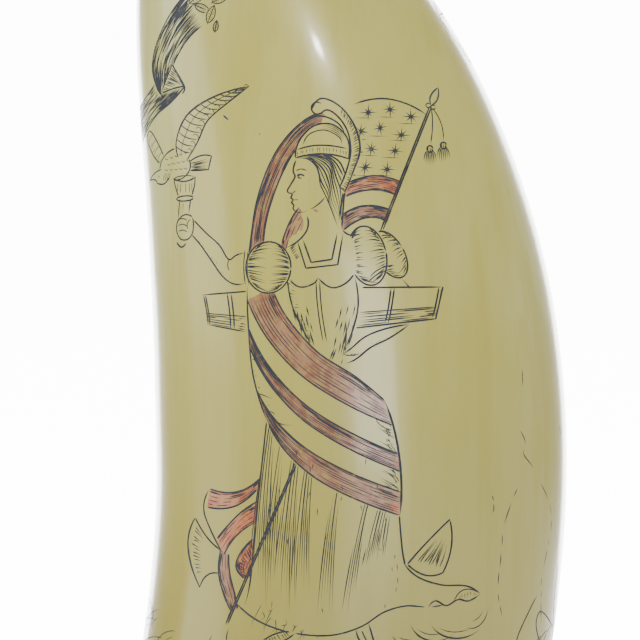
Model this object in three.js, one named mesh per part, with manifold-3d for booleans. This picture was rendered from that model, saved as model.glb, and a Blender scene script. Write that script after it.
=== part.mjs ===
// A sperm whale tooth, cut flat at the root so that it stands on its rim with the tip up, polished and
// engraved. It is one solid piece of ivory, and the pulp cavity is open at the underside.
// Millimetres, +Z up, the engraved face towards -Y, the tooth bending towards -X.
import * as THREE from "three";
import { mergeVertices } from "three/addons/utils/BufferGeometryUtils.js";
import Module from "manifold-3d";

// Driving dimensions of the tooth.
const TIP_LENGTH = 107; // along the tooth's axis, from its widest section up to the tip
const BASE_HEIGHT = 55; // from the cut base up to the widest section
const HALF_WIDTH = 34.2; // of the widest section, along X
const HALF_DEPTH = 25; // of the widest section, along Y
const AXIS_RADIUS = 189; // the axis is an arc of this radius, in the XZ plane
const SQUARENESS = 2.2; // exponent of the oval section: 2 is an ellipse, more is flatter on its faces
const ROOT_TAPER = 0.04; // how much of its width the tooth has lost at the base
const PULP_DEPTH = 64; // height of the pulp cavity's end above the base
const RIM_WALL = 8.5; // thickness of the wall at the base
const RIM_EDGE = 0.8; // size of the broken edges round the rim, inside and out

// Driving dimensions of the engraving.
const FOOT_LINE = 25; // height of the picture's foot line above the base
const MIDDLE = -1.65; // the picture's middle, from the upright through the widest section
const GROOVE_WIDTH = 0.7;
const GROOVE_DEPTH = 0.42;
const OVERSHOOT = 0.3; // how far the cutter stands out of the skin
const STEP = 6; // length of a cutter's segments along a curve
const SASH_STRIPES = 3;
const STAR_ROWS = 4;
const STAR_COLUMNS = 3;
const LAUREL_LEAVES = 4;
const BORDER_HEIGHTS = [9.5, 7.5];

// Fineness of the mesh.
const COLUMNS = 40;
const CROWN_ROWS = 18;
const ROOT_ROWS = 5;
const PULP_ROWS = 5;

const { sin, cos, asin, atan2, hypot, sign, abs, pow, sqrt, min, max, round, PI } = Math;

const wasm = await Module();
wasm.setup();

// ---- The tooth's surface ----

// The share of the widest section that is left at this distance along the axis, which is 0 at the
// widest section and TIP_LENGTH at the tip.
function girth(along) {
  if (along >= 0) return sqrt(max(0, 1 - (along / TIP_LENGTH) ** 2));
  return 1 - ROOT_TAPER * (along / BASE_HEIGHT) ** 2;
}

// The oval section's two coordinates, each -1 to 1. Turn 0 is +X, and a quarter turn is the face, -Y.
function oval(turn) {
  const bulge = (c) => sign(c) * pow(abs(c), 2 / SQUARENESS);
  return { side: bulge(cos(turn)), front: bulge(sin(turn)) };
}

// A point given by its distance sideways from the axis, its distance along the axis, and its depth.
function bent(sideways, along, depth) {
  const angle = along / AXIS_RADIUS;
  const reach = AXIS_RADIUS + sideways;
  return new THREE.Vector3(reach * cos(angle) - AXIS_RADIUS, -depth, BASE_HEIGHT + reach * sin(angle));
}

function skin(turn, along) {
  const { side, front } = oval(turn);
  return bent(HALF_WIDTH * girth(along) * side, along, HALF_DEPTH * girth(along) * front);
}

// How far along the axis the skin meets this level at this turn, found by repeated substitution.
function alongAtLevel(turn, height) {
  const { side } = oval(turn);
  let along = height - BASE_HEIGHT;
  for (let i = 0; i < 6; i++) {
    along = AXIS_RADIUS * asin((height - BASE_HEIGHT) / (AXIS_RADIUS + HALF_WIDTH * girth(along) * side));
  }
  return along;
}

// The outside, as rings from the tip down to the broken edge of the base, with the border's grooves.
function outerRings() {
  const rings = [];
  for (let row = 1; row <= CROWN_ROWS; row++) {
    const along = TIP_LENGTH * cos((row / CROWN_ROWS) * (PI / 2));
    rings.push((turn) => skin(turn, along));
  }
  for (let row = 1; row < ROOT_ROWS; row++) {
    const share = row / ROOT_ROWS;
    rings.push((turn) => skin(turn, share * alongAtLevel(turn, BORDER_HEIGHTS[0])));
  }
  const groove = [[GROOVE_WIDTH / 2, 0], [0, GROOVE_DEPTH], [-GROOVE_WIDTH / 2, 0]];
  for (const height of BORDER_HEIGHTS) {
    for (const [above, inset] of groove) {
      rings.push((turn) => levelPoint(turn, height + above, inset));
    }
  }
  rings.push((turn) => levelPoint(turn, RIM_EDGE, 0));
  return rings;
}

// The skin's point at this level, moved in level towards the tooth's middle.
function levelPoint(turn, height, inset) {
  const point = skin(turn, alongAtLevel(turn, height));
  const { side, front } = oval(turn);
  return point.sub(new THREE.Vector3(inset * side, -inset * front, 0));
}

// The oval that the base is cut to.
const baseRight = skin(0, alongAtLevel(0, 0)).x;
const baseLeft = skin(PI, alongAtLevel(PI, 0)).x;
const base = {
  x: (baseRight + baseLeft) / 2,
  halfWidth: (baseRight - baseLeft) / 2,
  halfDepth: HALF_DEPTH * girth(-BASE_HEIGHT),
};

// A level ring that lies this far inside the base's oval.
function baseRing(inset) {
  return (turn) => {
    const { side, front } = oval(turn);
    return new THREE.Vector3(base.x + (base.halfWidth - inset) * side, -(base.halfDepth - inset) * front, 0);
  };
}

// The pulp cavity, a cone with a rounded profile whose end leans back over the tooth's own middle.
function pulpRings() {
  const rings = [];
  for (let row = 0; row < PULP_ROWS; row++) {
    const share = row / PULP_ROWS;
    const narrowing = pow(1 - share, 0.75);
    const halfWidth = (base.halfWidth - RIM_WALL) * narrowing;
    const halfDepth = (base.halfDepth - RIM_WALL) * narrowing;
    const height = RIM_EDGE + (PULP_DEPTH - RIM_EDGE) * share;
    rings.push((turn) => {
      const { side, front } = oval(turn);
      return new THREE.Vector3(base.x * (1 - share) + halfWidth * side, -halfDepth * front, height);
    });
  }
  return rings;
}

// One closed surface through rings of points, with a single point at each end.
function closedSurface(first, rings, last) {
  const positions = [first.toArray()];
  for (const ring of rings) {
    for (let column = 0; column < COLUMNS; column++) {
      positions.push(ring((column / COLUMNS) * 2 * PI).toArray());
    }
  }
  positions.push(last.toArray());
  const at = (ring, column) => 1 + ring * COLUMNS + (column % COLUMNS);
  const end = positions.length - 1;
  const faces = [];
  for (let column = 0; column < COLUMNS; column++) {
    faces.push([0, at(0, column + 1), at(0, column)]);
    for (let ring = 0; ring + 1 < rings.length; ring++) {
      const [a, b] = [at(ring, column), at(ring, column + 1)];
      const [c, d] = [at(ring + 1, column), at(ring + 1, column + 1)];
      faces.push([a, b, d], [a, d, c]);
    }
    faces.push([end, at(rings.length - 1, column), at(rings.length - 1, column + 1)]);
  }
  return solidFrom(positions, faces);
}

function blankTooth() {
  const rings = [...outerRings(), baseRing(RIM_EDGE), baseRing(RIM_WALL - RIM_EDGE), ...pulpRings()];
  return closedSurface(bent(0, TIP_LENGTH, 0), rings, new THREE.Vector3(0, 0, PULP_DEPTH));
}

// ---- Solids ----

function solidFrom(positions, faces) {
  const mesh = new wasm.Mesh({
    numProp: 3,
    vertProperties: new Float32Array(positions.flat()),
    triVerts: new Uint32Array(faces.flat()),
  });
  return new wasm.Manifold(mesh);
}

function geometryFrom(solid) {
  const mesh = solid.getMesh();
  let geometry = new THREE.BufferGeometry();
  geometry.setAttribute("position", new THREE.Float32BufferAttribute(mesh.vertProperties, 3));
  geometry.setIndex([...mesh.triVerts]);
  geometry = mergeVertices(geometry, 1e-5);
  geometry.computeVertexNormals();
  return geometry;
}

// ---- Grooves ----

// The skin's outward direction, from two nearby steps to the right and upwards on it.
function outward(place, u, v) {
  const right = place(u + 0.05, v).sub(place(u - 0.05, v));
  const up = place(u, v + 0.05).sub(place(u, v - 0.05));
  return right.cross(up).normalize();
}

// Where a picture point lies on the skin: facing -1 is the engraved front, and +1 the back, mirrored
// so that the point's x still runs to the right for somebody who looks at that side.
function onFace(facing) {
  return (x, z) => {
    const acrossX = MIDDLE - facing * x;
    const upwards = z + FOOT_LINE - BASE_HEIGHT;
    const sideways = hypot(acrossX + AXIS_RADIUS, upwards) - AXIS_RADIUS;
    const along = AXIS_RADIUS * atan2(upwards, acrossX + AXIS_RADIUS);
    const side = min(0.995, abs(sideways / (HALF_WIDTH * girth(along))));
    const front = pow(1 - pow(side, SQUARENESS), 1 / SQUARENESS);
    return new THREE.Vector3(acrossX, facing * HALF_DEPTH * girth(along) * front, z + FOOT_LINE);
  };
}

// A V-shaped cutter through these points of the skin, half as deep at its ends. Each of its segments is
// the hull of two triangular sections, so that a tight bend can't turn it inside out.
function cutter(place, points) {
  const spots = points.map(([u, v]) => place(u, v));
  const last = spots.length - 1;
  const halfWidth = ((GROOVE_WIDTH / 2) * (OVERSHOOT + GROOVE_DEPTH)) / GROOVE_DEPTH;
  const sections = spots.map((spot, i) => {
    const out = outward(place, ...points[i]);
    const run = spots[min(i + 1, last)].clone().sub(spots[max(i - 1, 0)]).normalize();
    const aside = out.clone().cross(run).normalize();
    const depth = i === 0 || i === last ? GROOVE_DEPTH / 2 : GROOVE_DEPTH;
    const top = spot.clone().addScaledVector(out, OVERSHOOT);
    return [
      top.clone().addScaledVector(aside, halfWidth).toArray(),
      top.clone().addScaledVector(aside, -halfWidth).toArray(),
      spot.clone().addScaledVector(out, -depth).toArray(),
    ];
  });
  return sections.slice(1).map((section, i) => wasm.Manifold.hull([...sections[i], ...section]));
}

// ---- Lines of the picture, as evenly spaced points ----

function curve(...points) {
  const spline = new THREE.SplineCurve(points.map(([x, z]) => new THREE.Vector2(x, z)));
  const segments = max(2, round(spline.getLength() / STEP));
  return spline.getSpacedPoints(segments).map((p) => [p.x, p.y]);
}

// Part of an oval, in degrees, its two half sizes turned by a tilt.
function ring(x, z, halfWidth, halfHeight, tilt = 0, start = 0, end = 372) {
  const points = [];
  const lean = (tilt * PI) / 180;
  const segments = round((end - start) / (halfWidth > 3 ? 40 : 60));
  for (let i = 0; i <= segments; i++) {
    const a = ((start + ((end - start) * i) / segments) * PI) / 180;
    const [u, v] = [halfWidth * cos(a), halfHeight * sin(a)];
    points.push([x + u * cos(lean) - v * sin(lean), z + u * sin(lean) + v * cos(lean)]);
  }
  return points;
}

function pointOn(line, share) {
  const spot = share * (line.length - 1);
  const i = min(line.length - 2, Math.floor(spot));
  const part = spot - i;
  return [0, 1].map((axis) => line[i][axis] * (1 - part) + line[i + 1][axis] * part);
}

// The line that lies this share of the way from one line to another.
function between(a, b, share) {
  const count = max(a.length, b.length);
  return Array.from({ length: count }, (_, i) => {
    const [p, q] = [pointOn(a, i / (count - 1)), pointOn(b, i / (count - 1))];
    return [0, 1].map((axis) => p[axis] * (1 - share) + q[axis] * share);
  });
}

// ---- The picture: a helmeted figure in a striped sash, with a torch, a bird and a flag ----

function staff() {
  const [foot, top] = [[-20.6, 3.4], [12.9, 88.4]];
  const whole = [foot, top];
  const visible = [[0, 0.17, 0.345], [0.655, 0.83, 0.995]];
  const lines = visible.map((ends) => curve(...ends.map((share) => pointOn(whole, share))));
  const point = ring(13.4, 90.2, 0.75, 1.9, -20);
  const tassels = [12.8, 15.6].map((x) => [[13, 88], [x, 82.4], [x, 78.8]]);
  return [...lines, point, ...tassels];
}

function flag() {
  const top = curve([0.2, 88.6], [4.6, 89.6], [8.6, 88.9], [12, 87.2]);
  const foot = curve([-1.6, 75], [1, 76.5], [4, 76.9], [8, 75.8]);
  const lines = [top, foot];
  for (let row = 0; row < STAR_ROWS; row++) {
    const level = between(top, foot, 0.14 + 0.25 * row);
    for (let column = 0; column < STAR_COLUMNS; column++) {
      lines.push(...star(...pointOn(level, 0.24 + 0.28 * column - 0.03 * row)));
    }
  }
  const drops = [2.2, 4.9, 6.9];
  for (const drop of drops) {
    lines.push(between(foot, foot.map(([x, z]) => [x * 0.8, z - drop]), 1));
  }
  return lines;
}

function star(x, z) {
  return [25, 115].map((degrees) => {
    const [u, v] = [1.35 * cos((degrees * PI) / 180), 1.35 * sin((degrees * PI) / 180)];
    return [[x - u, z - v], [x + u, z + v]];
  });
}

function head() {
  const brow = [[-9.1, 79.6], [-9.6, 77.4], [-10.5, 74.4], [-9.9, 73.6]];
  const profile = curve(...brow, [-9.7, 71.4], [-8.2, 70.9], [-6.2, 71.6]);
  const eye = curve([-9, 76.8], [-8.4, 77.1], [-7.6, 76.8]);
  const rim = curve([-9.3, 79.8], [-5.4, 80.5], [-0.7, 79.8]);
  const dome = curve([-9.3, 79.8], [-8.4, 83.2], [-4.6, 85.3], [-0.9, 83], [-0.6, 79.8]);
  const comb = curve([-5.2, 86.9], [-5, 89.2], [-2, 88.9], [0.5, 84.8], [0.9, 81], [-0.4, 77], [-1.2, 73.5]);
  const nape = curve([-3.6, 77.5], [-2.6, 73.4], [-1.3, 70.2], [-1.5, 68]);
  const temple = curve([-6.6, 79.4], [-5, 76], [-4, 72.6], [-2.6, 69]);
  const locks = [0.35, 0.7].map((share) => between(temple, nape, share));
  const throat = curve([-7.6, 70.7], [-7.2, 68.6], [-8.4, 66.6], [-10.4, 65.2]);
  return [profile, eye, rim, dome, comb, nape, ...locks, throat];
}

function billow() {
  const outer = curve([-4.6, 87.4], [-9.6, 84.8], [-13.8, 78], [-16.4, 68.4], [-16.8, 64.8]);
  const inner = curve([-5, 85.2], [-9, 81.6], [-12.6, 74.6], [-14.4, 65.8]);
  const beside = curve([-9.4, 70.8], [-11, 68], [-11.8, 65.6]);
  return [outer, inner, beside];
}

function sleevesAndArms() {
  const near = ring(-13.9, 61.8, 3.7, 3.9);
  const far = ring(2.3, 63.9, 3, 4.3, 24);
  const farBack = ring(5.8, 64, 2.1, 3.5, 38, -70, 80);
  const pleats = [-0.4, 0.4].flatMap((v) => [
    [[-17.2, 61.8 + 3.6 * v], [-15.1, 61.8 + 3.8 * v]],
    [[-10.6, 61.8 + 3.6 * v], [-12.7, 61.8 + 3.8 * v]],
  ]);
  const over = curve([-17.8, 64.2], [-20.2, 63.2], [-22.8, 66.8], [-26.2, 69.9]);
  const under = curve([-17.6, 59.4], [-20, 59.6], [-23.2, 63.2], [-26.8, 67.7]);
  const fist = ring(-27.5, 68.5, 1.3, 1.9, -8);
  const elbow = [[[6.9, 61.3], [9.6, 58.6]], [[3.2, 60], [4.4, 58.7]]];
  const forearm = curve([6, 52.2], [2.6, 50.2], [-1.4, 49.4]);
  return [near, far, farBack, ...pleats, over, under, fist, ...elbow, forearm];
}

function torchAndBird() {
  const grip = [-28.5, -26.7].map((x) => [[x, 70.4], [x + 0.1, 73.2]]);
  const cup = [[-28.5, 73.3], [-29.4, 76.6], [-25.8, 76.7], [-26.5, 73.4], [-28.5, 73.3]];
  const body = ring(-29.2, 79, 2.2, 2.4, -30);
  const lead = curve([-29, 81.2], [-28.4, 84.6], [-25.4, 88.4], [-20.8, 90.7], [-16.9, 91.6]);
  const trail = curve([-27.2, 80.6], [-25.2, 83], [-23.4, 86.5], [-20.4, 89], [-16.9, 91.6]);
  const quills = [0.35, 0.65].map((share) => [pointOn(lead, share), pointOn(trail, share + 0.06)]);
  const head = curve([-30.8, 77.4], [-32.4, 77.5], [-33.4, 76.4], [-32, 75.9], [-30.4, 76.9]);
  const farWing = curve([-30.8, 80.4], [-32.4, 83.6], [-33.3, 82.8], [-32.4, 80.2], [-31, 78.8]);
  const tail = [[-26.9, 79.2], [-23.1, 80.1], [-23.6, 78], [-26.9, 77.8]];
  return [...grip, cup, body, lead, trail, ...quills, head, farWing, tail];
}

// The hooped case that is seen behind the waist, on both sides of it.
function cask() {
  const near = { top: [[-24.8, 57.4], [-17.4, 58]], foot: [[-24, 52.6], [-17.1, 51.4]], hoops: [0.01, 0.6] };
  const far = { top: [[1.6, 58.6], [14.9, 58.7]], foot: [[1.4, 52.3], [13.7, 53.5]], hoops: [0.4, 0.99] };
  return [near, far].flatMap(({ top, foot, hoops }) => [
    curve(...top),
    curve(...foot),
    ...hoops.map((share) => [pointOn(top, share), pointOn(foot, share)]),
  ]);
}

function bodice() {
  const left = curve([-10.3, 58.6], [-9.6, 55], [-8, 51.6], [-6.6, 49.8]);
  const right = curve([0.4, 60], [0.9, 56], [0, 52], [-1.2, 48.8]);
  const neckline = curve([-8.1, 66.6], [-7.2, 64], [-6.4, 62.9], [-3.5, 63.3], [-3, 64.6], [-2.4, 67.6]);
  const bust = curve([-10.3, 60], [-8.2, 58.8], [-5.6, 60.2], [-2.8, 58.8], [0.2, 60.8]);
  const seam = curve([-5.6, 58.8], [-5, 54], [-4.4, 49.6]);
  return [left, right, neckline, bust, seam];
}

function sash() {
  const left = curve([-17.2, 58], [-17, 52], [-16.2, 44], [-13.8, 36.4]);
  const right = curve([5.4, 40], [7.2, 34], [8, 27.4], [7.8, 21.4]);
  const across = (atLeft, atRight) => {
    const [a, b] = [pointOn(left, atLeft), pointOn(right, atRight)];
    const part = (x, z) => [a[0] + (b[0] - a[0]) * x, a[1] + (b[1] - a[1]) * z];
    return curve(a, part(0.17, 0.36), part(0.46, 0.68), b);
  };
  const top = curve([-12.4, 57.4], [-10.4, 53.4], [-5.6, 48], [0.6, 44], [5.4, 40]);
  const edges = [0.1, 0.3, 0.44, 0.74, 1].map((share, i) => across(share, [0.22, 0.47, 0.62, 0.8, 1][i]));
  return [left, right, top, ...edges.slice(0, 2 * SASH_STRIPES - 1)];
}

function skirt() {
  const left = curve([-14, 36], [-15, 28], [-15.9, 19], [-16.6, 11], [-17.6, 6.6]);
  const right = curve([7.7, 21], [7.9, 17], [8.6, 13.8], [14, 10.2], [20.8, 8.6]);
  const hem = curve([-18.8, 6.8], [-13, 3.1], [-3.6, 1.8], [5.2, 5.6], [12.6, 6.3], [17, 7.3], [20.8, 8.6]);
  const waist = curve([-13.4, 35.4], [-8, 31], [-1, 26.6], [7, 22]);
  const folds = [0.12, 0.32, 0.55, 0.8].map((share) => {
    const [a, b] = [pointOn(waist, share), pointOn(hem, 0.06 + 0.5 * share)];
    return curve(a, [a[0] * 0.6 + b[0] * 0.4 - 0.6 + share, a[1] * 0.55 + b[1] * 0.45], [b[0], b[1] + 2.4]);
  });
  const shoes = [[[-9.8, 2], [-14.4, 0.9]], [[1.6, 2.8], [2.8, 0]]];
  return [left, right, hem, ...folds, ...shoes];
}

function looseEndAndAxe() {
  const top = curve([-15, 27.4], [-18, 25.4], [-23.4, 25.6]);
  const bands = [2.7, 6.4, 9.4].map((drop, i) =>
    top.map(([x, z]) => [x * (1 - 0.02 * i), z - drop - (i * (-15 - x)) / 3.4]),
  );
  const edge = curve([-23.4, 25.6], [-24.2, 22], [-22.8, 18], [-21.2, 14.8], [-21.6, 10.6], [-19.8, 5.8]);
  const fold = ring(-17.3, 14.4, 1.2, 2.8, 20);
  const edgeOfBlade = [[-25.8, 20.8], [-27, 15.6], [-25, 9.4]];
  const blade = curve([-21.8, 15.8], [-23.8, 17.8], ...edgeOfBlade, [-23.6, 11.4], [-21.9, 11.8]);
  return [top, ...bands, edge, fold, blade];
}

function ground() {
  const middles = [[17.2, 4.8, 4.6], [12, 3.6, 4], [16, 0.2, 4.4]];
  const stones = middles.map(([x, z, size]) => ring(x, z, size, size * 0.8, 0, 200, 320));
  const leaf = [curve([9.2, 13.6], [12.4, 17], [15.9, 20.7]), curve([15.9, 20.7], [16.2, 16.4], [14.8, 12])];
  return [...stones, ...leaf];
}

// The folded ribbon that comes down the left of the crown.
function ribbon() {
  const outer = curve([-27, 106], [-30.4, 101.6], [-31.6, 97.4], [-29.4, 93.2], [-33, 88.6]);
  const inner = curve([-21.6, 106.6], [-25.8, 102.8], [-28, 98.4], [-26.7, 94.6], [-28.6, 92], [-33, 84.4]);
  return [outer, inner];
}

// ---- The back: a fouled anchor between two laurel sprays ----

function anchor() {
  const shank = [-0.8, 0.8].map((x) => curve([x, 74], [x, 60], [x, 43]));
  const eye = ring(0, 76.2, 2.3, 2.3);
  const stock = curve([-8.4, 70.6], [0, 70], [8.4, 70.6]);
  const arms = curve([-12.6, 51.4], [-9.4, 44.6], [0, 41.2], [9.4, 44.6], [12.6, 51.4]);
  const flukes = [-1, 1].map((side) => curve([side * 9.2, 50.8], [side * 13.2, 53.8], [side * 14.4, 48.6]));
  const cable = curve([0, 78.4], [6.4, 75], [2, 66.4], [-5.4, 61.4], [-1, 54.4], [6, 49.6], [4, 40]);
  return [...shank, eye, stock, arms, ...flukes, cable];
}

function laurel(side) {
  const stem = curve([side * 1.6, 28.6], [side * 14.6, 33.6], [side * 21.4, 46], [side * 21, 60]);
  const leaves = [];
  for (let i = 0; i < LAUREL_LEAVES; i++) {
    const [x, z] = pointOn(stem, (i + 0.8) / LAUREL_LEAVES);
    for (const turn of [-35, 35]) {
      const heading = 20 + (i / LAUREL_LEAVES) * 80 + turn;
      const [u, v] = [side * 2.6 * cos((heading * PI) / 180), 2.6 * sin((heading * PI) / 180)];
      leaves.push([[x, z], [x + u * 1.6, z + v * 1.6]]);
    }
  }
  return [stem, ...leaves];
}

// ---- The engraved tooth ----

const figure = [head, bodice, sleevesAndArms, sash, skirt];
const attributes = [staff, flag, billow, torchAndBird, cask, looseEndAndAxe, ground, ribbon];
const frontLines = [...figure, ...attributes].flatMap((draw) => draw());
const backLines = [...anchor(), ...laurel(-1), ...laurel(1)];

const cutters = [
  ...frontLines.flatMap((line) => cutter(onFace(-1), line)),
  ...backLines.flatMap((line) => cutter(onFace(1), line)),
];

const engraved = blankTooth().subtract(wasm.Manifold.union(cutters));

const ivory = new THREE.MeshStandardMaterial({ color: 0xc9c295, roughness: 0.32, metalness: 0 });

const tooth = new THREE.Mesh(geometryFrom(engraved), ivory);
tooth.name = "tooth";

// The part's frame has its origin under the middle of the whole tooth's width, on the surface it stands on.
const reach = new THREE.Box3().setFromObject(tooth);
tooth.position.x = -(reach.min.x + reach.max.x) / 2;

const part = new THREE.Group();
part.add(tooth);

export default part;
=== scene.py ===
"""A scrimshaw whale tooth, engraved and inked with a robed figure: its mesh, its ivory and the light on it.

Millimetres throughout, in the CAD model's frame, until a mesh is made: +Z up, the engraved face towards -Y.
"""
import math

import bpy
import numpy as np
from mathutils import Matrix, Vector
from mathutils.geometry import delaunay_2d_cdt


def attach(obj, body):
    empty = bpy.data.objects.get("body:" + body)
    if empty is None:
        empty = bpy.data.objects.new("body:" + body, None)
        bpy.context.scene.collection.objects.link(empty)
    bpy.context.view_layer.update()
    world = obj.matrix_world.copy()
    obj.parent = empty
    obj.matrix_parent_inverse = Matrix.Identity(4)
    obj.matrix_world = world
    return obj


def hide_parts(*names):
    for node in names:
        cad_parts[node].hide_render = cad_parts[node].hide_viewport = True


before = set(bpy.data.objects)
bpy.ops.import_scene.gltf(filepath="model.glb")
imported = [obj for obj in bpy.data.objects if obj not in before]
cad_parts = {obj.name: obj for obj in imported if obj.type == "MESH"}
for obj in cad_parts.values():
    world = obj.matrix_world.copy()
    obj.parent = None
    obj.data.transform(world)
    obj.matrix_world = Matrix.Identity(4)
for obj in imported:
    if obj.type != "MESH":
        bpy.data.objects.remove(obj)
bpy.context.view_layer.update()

MM = 0.001

# The tooth, as in the CAD model.
TIP_LENGTH = 107.0      # along the axis, from the widest section up to the tip
BASE_HEIGHT = 55.0      # from the cut base up to the widest section
HALF_WIDTH = 34.2
HALF_DEPTH = 25.0
AXIS_RADIUS = 189.0     # the axis is an arc of this radius, in the XZ plane
SQUARENESS = 2.2
ROOT_TAPER = 0.04
PULP_DEPTH = 64.0
RIM_WALL = 8.5
RIM_EDGE = 0.8
BORDER_HEIGHTS = (9.5, 7.5)

# The engraving.
FOOT_LINE = 25.0        # height of the picture's foot line above the base
MIDDLE = -1.65          # the picture's middle, from the upright through the widest section
GROOVE_DEPTH = 0.11     # of a LINE or a bolder line; finer lines are shallower
BOLD, LINE, FINE, HAIR = 0.38, 0.29, 0.21, 0.15   # widths of the engraved lines
BORDER_WIDTH, BORDER_DEPTH = 0.4, 0.16           # of the border's lines
STEP = 0.3              # between the samples of a line
RED, RUST = "red", "rust"

# The mesh.
SEAM = math.radians(-38)   # where the unrolled skin is cut, at the back's right
CELL = 1.6                 # spacing of the skin's points between the engraved lines
CAP = 104.0                # how far up the axis the unrolled skin goes; the tip is rings above that
COLUMNS = 120              # points round the rim, the tip and the pulp cavity
BORDER_POINTS = 133        # points round each of the border's lines


# ---- The tooth's surface ----

def girth(along):
    """The share of the widest section left at this distance along the axis, 0 at that section."""
    along = np.asarray(along, float)
    crown = np.sqrt(np.clip(1 - (along / TIP_LENGTH) ** 2, 0, None))
    return np.where(along >= 0, crown, 1 - ROOT_TAPER * (along / BASE_HEIGHT) ** 2)


def oval_section(turn):
    """The oval section's two coordinates, each -1 to 1: turn 0 is +X, a quarter turn is the face, -Y."""
    c, s = np.cos(turn), np.sin(turn)
    power = 2 / SQUARENESS
    return np.sign(c) * np.abs(c) ** power, np.sign(s) * np.abs(s) ** power


def bent(sideways, along, depth):
    angle = along / AXIS_RADIUS
    reach = AXIS_RADIUS + sideways
    x = reach * np.cos(angle) - AXIS_RADIUS
    z = BASE_HEIGHT + reach * np.sin(angle)
    return np.stack(np.broadcast_arrays(x, -depth, z), axis=-1)


def polish(turn, along):
    """The slight unevenness that scraping and polishing by hand leave."""
    slow = np.sin(2 * turn + along / 17) * np.sin(along / 23 + 1.3)
    quick = np.sin(5 * turn - along / 9 + 0.6) * np.cos(along / 12)
    fade = np.clip((along + 46) / 12, 0, 1) * np.clip((100 - along) / 20, 0, 1)
    return 1 + fade * (0.0035 * slow + 0.0014 * quick)


def skin(turn, along):
    side, front = oval_section(turn)
    size = girth(along) * polish(turn, along)
    return bent(HALF_WIDTH * size * side, along, HALF_DEPTH * size * front)


def along_at_level(turn, height):
    """How far along the axis the skin meets this level, found by repeated substitution."""
    side, _ = oval_section(turn)
    along = height - BASE_HEIGHT + 0 * side
    for _ in range(6):
        reach = AXIS_RADIUS + HALF_WIDTH * girth(along) * side
        along = AXIS_RADIUS * np.arcsin((height - BASE_HEIGHT) / reach)
    return along


def middle_of_width():
    """The tooth's middle in X before it is set over the frame's origin."""
    lowest = along_at_level(math.pi, 0.0)
    base_left = bent(-HALF_WIDTH * girth(lowest), lowest, 0.0)
    widest_right = bent(HALF_WIDTH, 0.0, 0.0)
    return (base_left[0] + widest_right[0]) / 2


SET_OVER = -middle_of_width()

# The unrolled skin, the chart: u is the length round the widest section from the seam, and v the distance
# along the axis, stretched below the widest section so that the rim's edge is straight.
_turns = np.linspace(SEAM, SEAM + 2 * math.pi, 4001)
_section = bent(HALF_WIDTH * oval_section(_turns)[0], 0.0, HALF_DEPTH * oval_section(_turns)[1])[:, :2]
_round = np.concatenate([[0], np.cumsum(np.hypot(*np.diff(_section, axis=0).T))])
LENGTH_ROUND = _round[-1]


def chart(turn, along):
    stretched = -BASE_HEIGHT * along / along_at_level(turn, RIM_EDGE)
    return np.column_stack([np.interp(turn, _turns, _round), np.where(along >= 0, along, stretched)])


def unchart(places):
    turn = np.interp(places[:, 0], _round, _turns)
    v = places[:, 1]
    return turn, np.where(v >= 0, v, -v / BASE_HEIGHT * along_at_level(turn, RIM_EDGE))


def face_to_chart(points, facing):
    """Chart places of picture points: facing -1 is the engraved front, +1 the back, seen from behind."""
    EDGE = 0.965     # beyond this share of the half width a line runs on round the side
    x = MIDDLE - facing * points[:, 0]
    up = points[:, 1] + FOOT_LINE - BASE_HEIGHT
    sideways = np.hypot(x + AXIS_RADIUS, up) - AXIS_RADIUS
    along = AXIS_RADIUS * np.arctan2(up, x + AXIS_RADIUS)
    share = sideways / (HALF_WIDTH * girth(along))
    power = SQUARENESS / 2
    held = np.clip(share, -EDGE, EDGE)
    turn = np.arccos(np.sign(held) * np.abs(held) ** power)
    turn -= (share - held) * power * EDGE ** (power - 1) / math.sqrt(1 - EDGE ** (2 * power))
    return chart(turn if facing < 0 else 2 * math.pi - turn, along)


# ---- Lines, as points with x to the right and z up ----

def sampled(points, step=STEP):
    """The polyline through the points with a sample about every step."""
    points = np.asarray(points, float)
    length = np.concatenate([[0], np.cumsum(np.hypot(*np.diff(points, axis=0).T))])
    count = max(2, int(math.ceil(length[-1] / step)) + 1)
    at = np.linspace(0, length[-1], count)
    return np.column_stack([np.interp(at, length, points[:, k]) for k in (0, 1)])


def straight(*points):
    return sampled(points)


def curve(*points):
    """A smooth line through the points: cubic pieces whose slopes come from the neighbours."""
    p = np.array(points, float)
    if len(p) == 2:
        return sampled(p)
    gaps = np.maximum(np.hypot(*np.diff(p, axis=0).T), 1e-6) ** 0.7
    at = np.concatenate([[0], np.cumsum(gaps)])
    slope = np.empty_like(p)
    slope[1:-1] = (p[2:] - p[:-2]) / (at[2:] - at[:-2])[:, None]
    slope[0] = 2 * (p[1] - p[0]) / gaps[0] - slope[1]
    slope[-1] = 2 * (p[-1] - p[-2]) / gaps[-1] - slope[-2]
    pieces = []
    for i, gap in enumerate(gaps):
        u = np.linspace(0, 1, 14)[:, None]
        start, end = p[i], p[i + 1]
        pieces.append(start * (2 * u**3 - 3 * u**2 + 1) + slope[i] * gap * (u**3 - 2 * u**2 + u)
                      + end * (3 * u**2 - 2 * u**3) + slope[i + 1] * gap * (u**3 - u**2))
    return sampled(np.vstack(pieces))


def loop(*points):
    """A smooth closed line through the points."""
    p = list(points)
    line = curve(*(p[-2:] + p + p[:2]))
    start = np.argmin(np.hypot(*(line - p[0]).T)[: len(line) // 2])
    end = len(line) - 1 - np.argmin(np.hypot(*(line[::-1] - p[0]).T)[: len(line) // 2])
    return sampled(np.vstack([line[start:end], line[start:start + 1]]))


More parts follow.
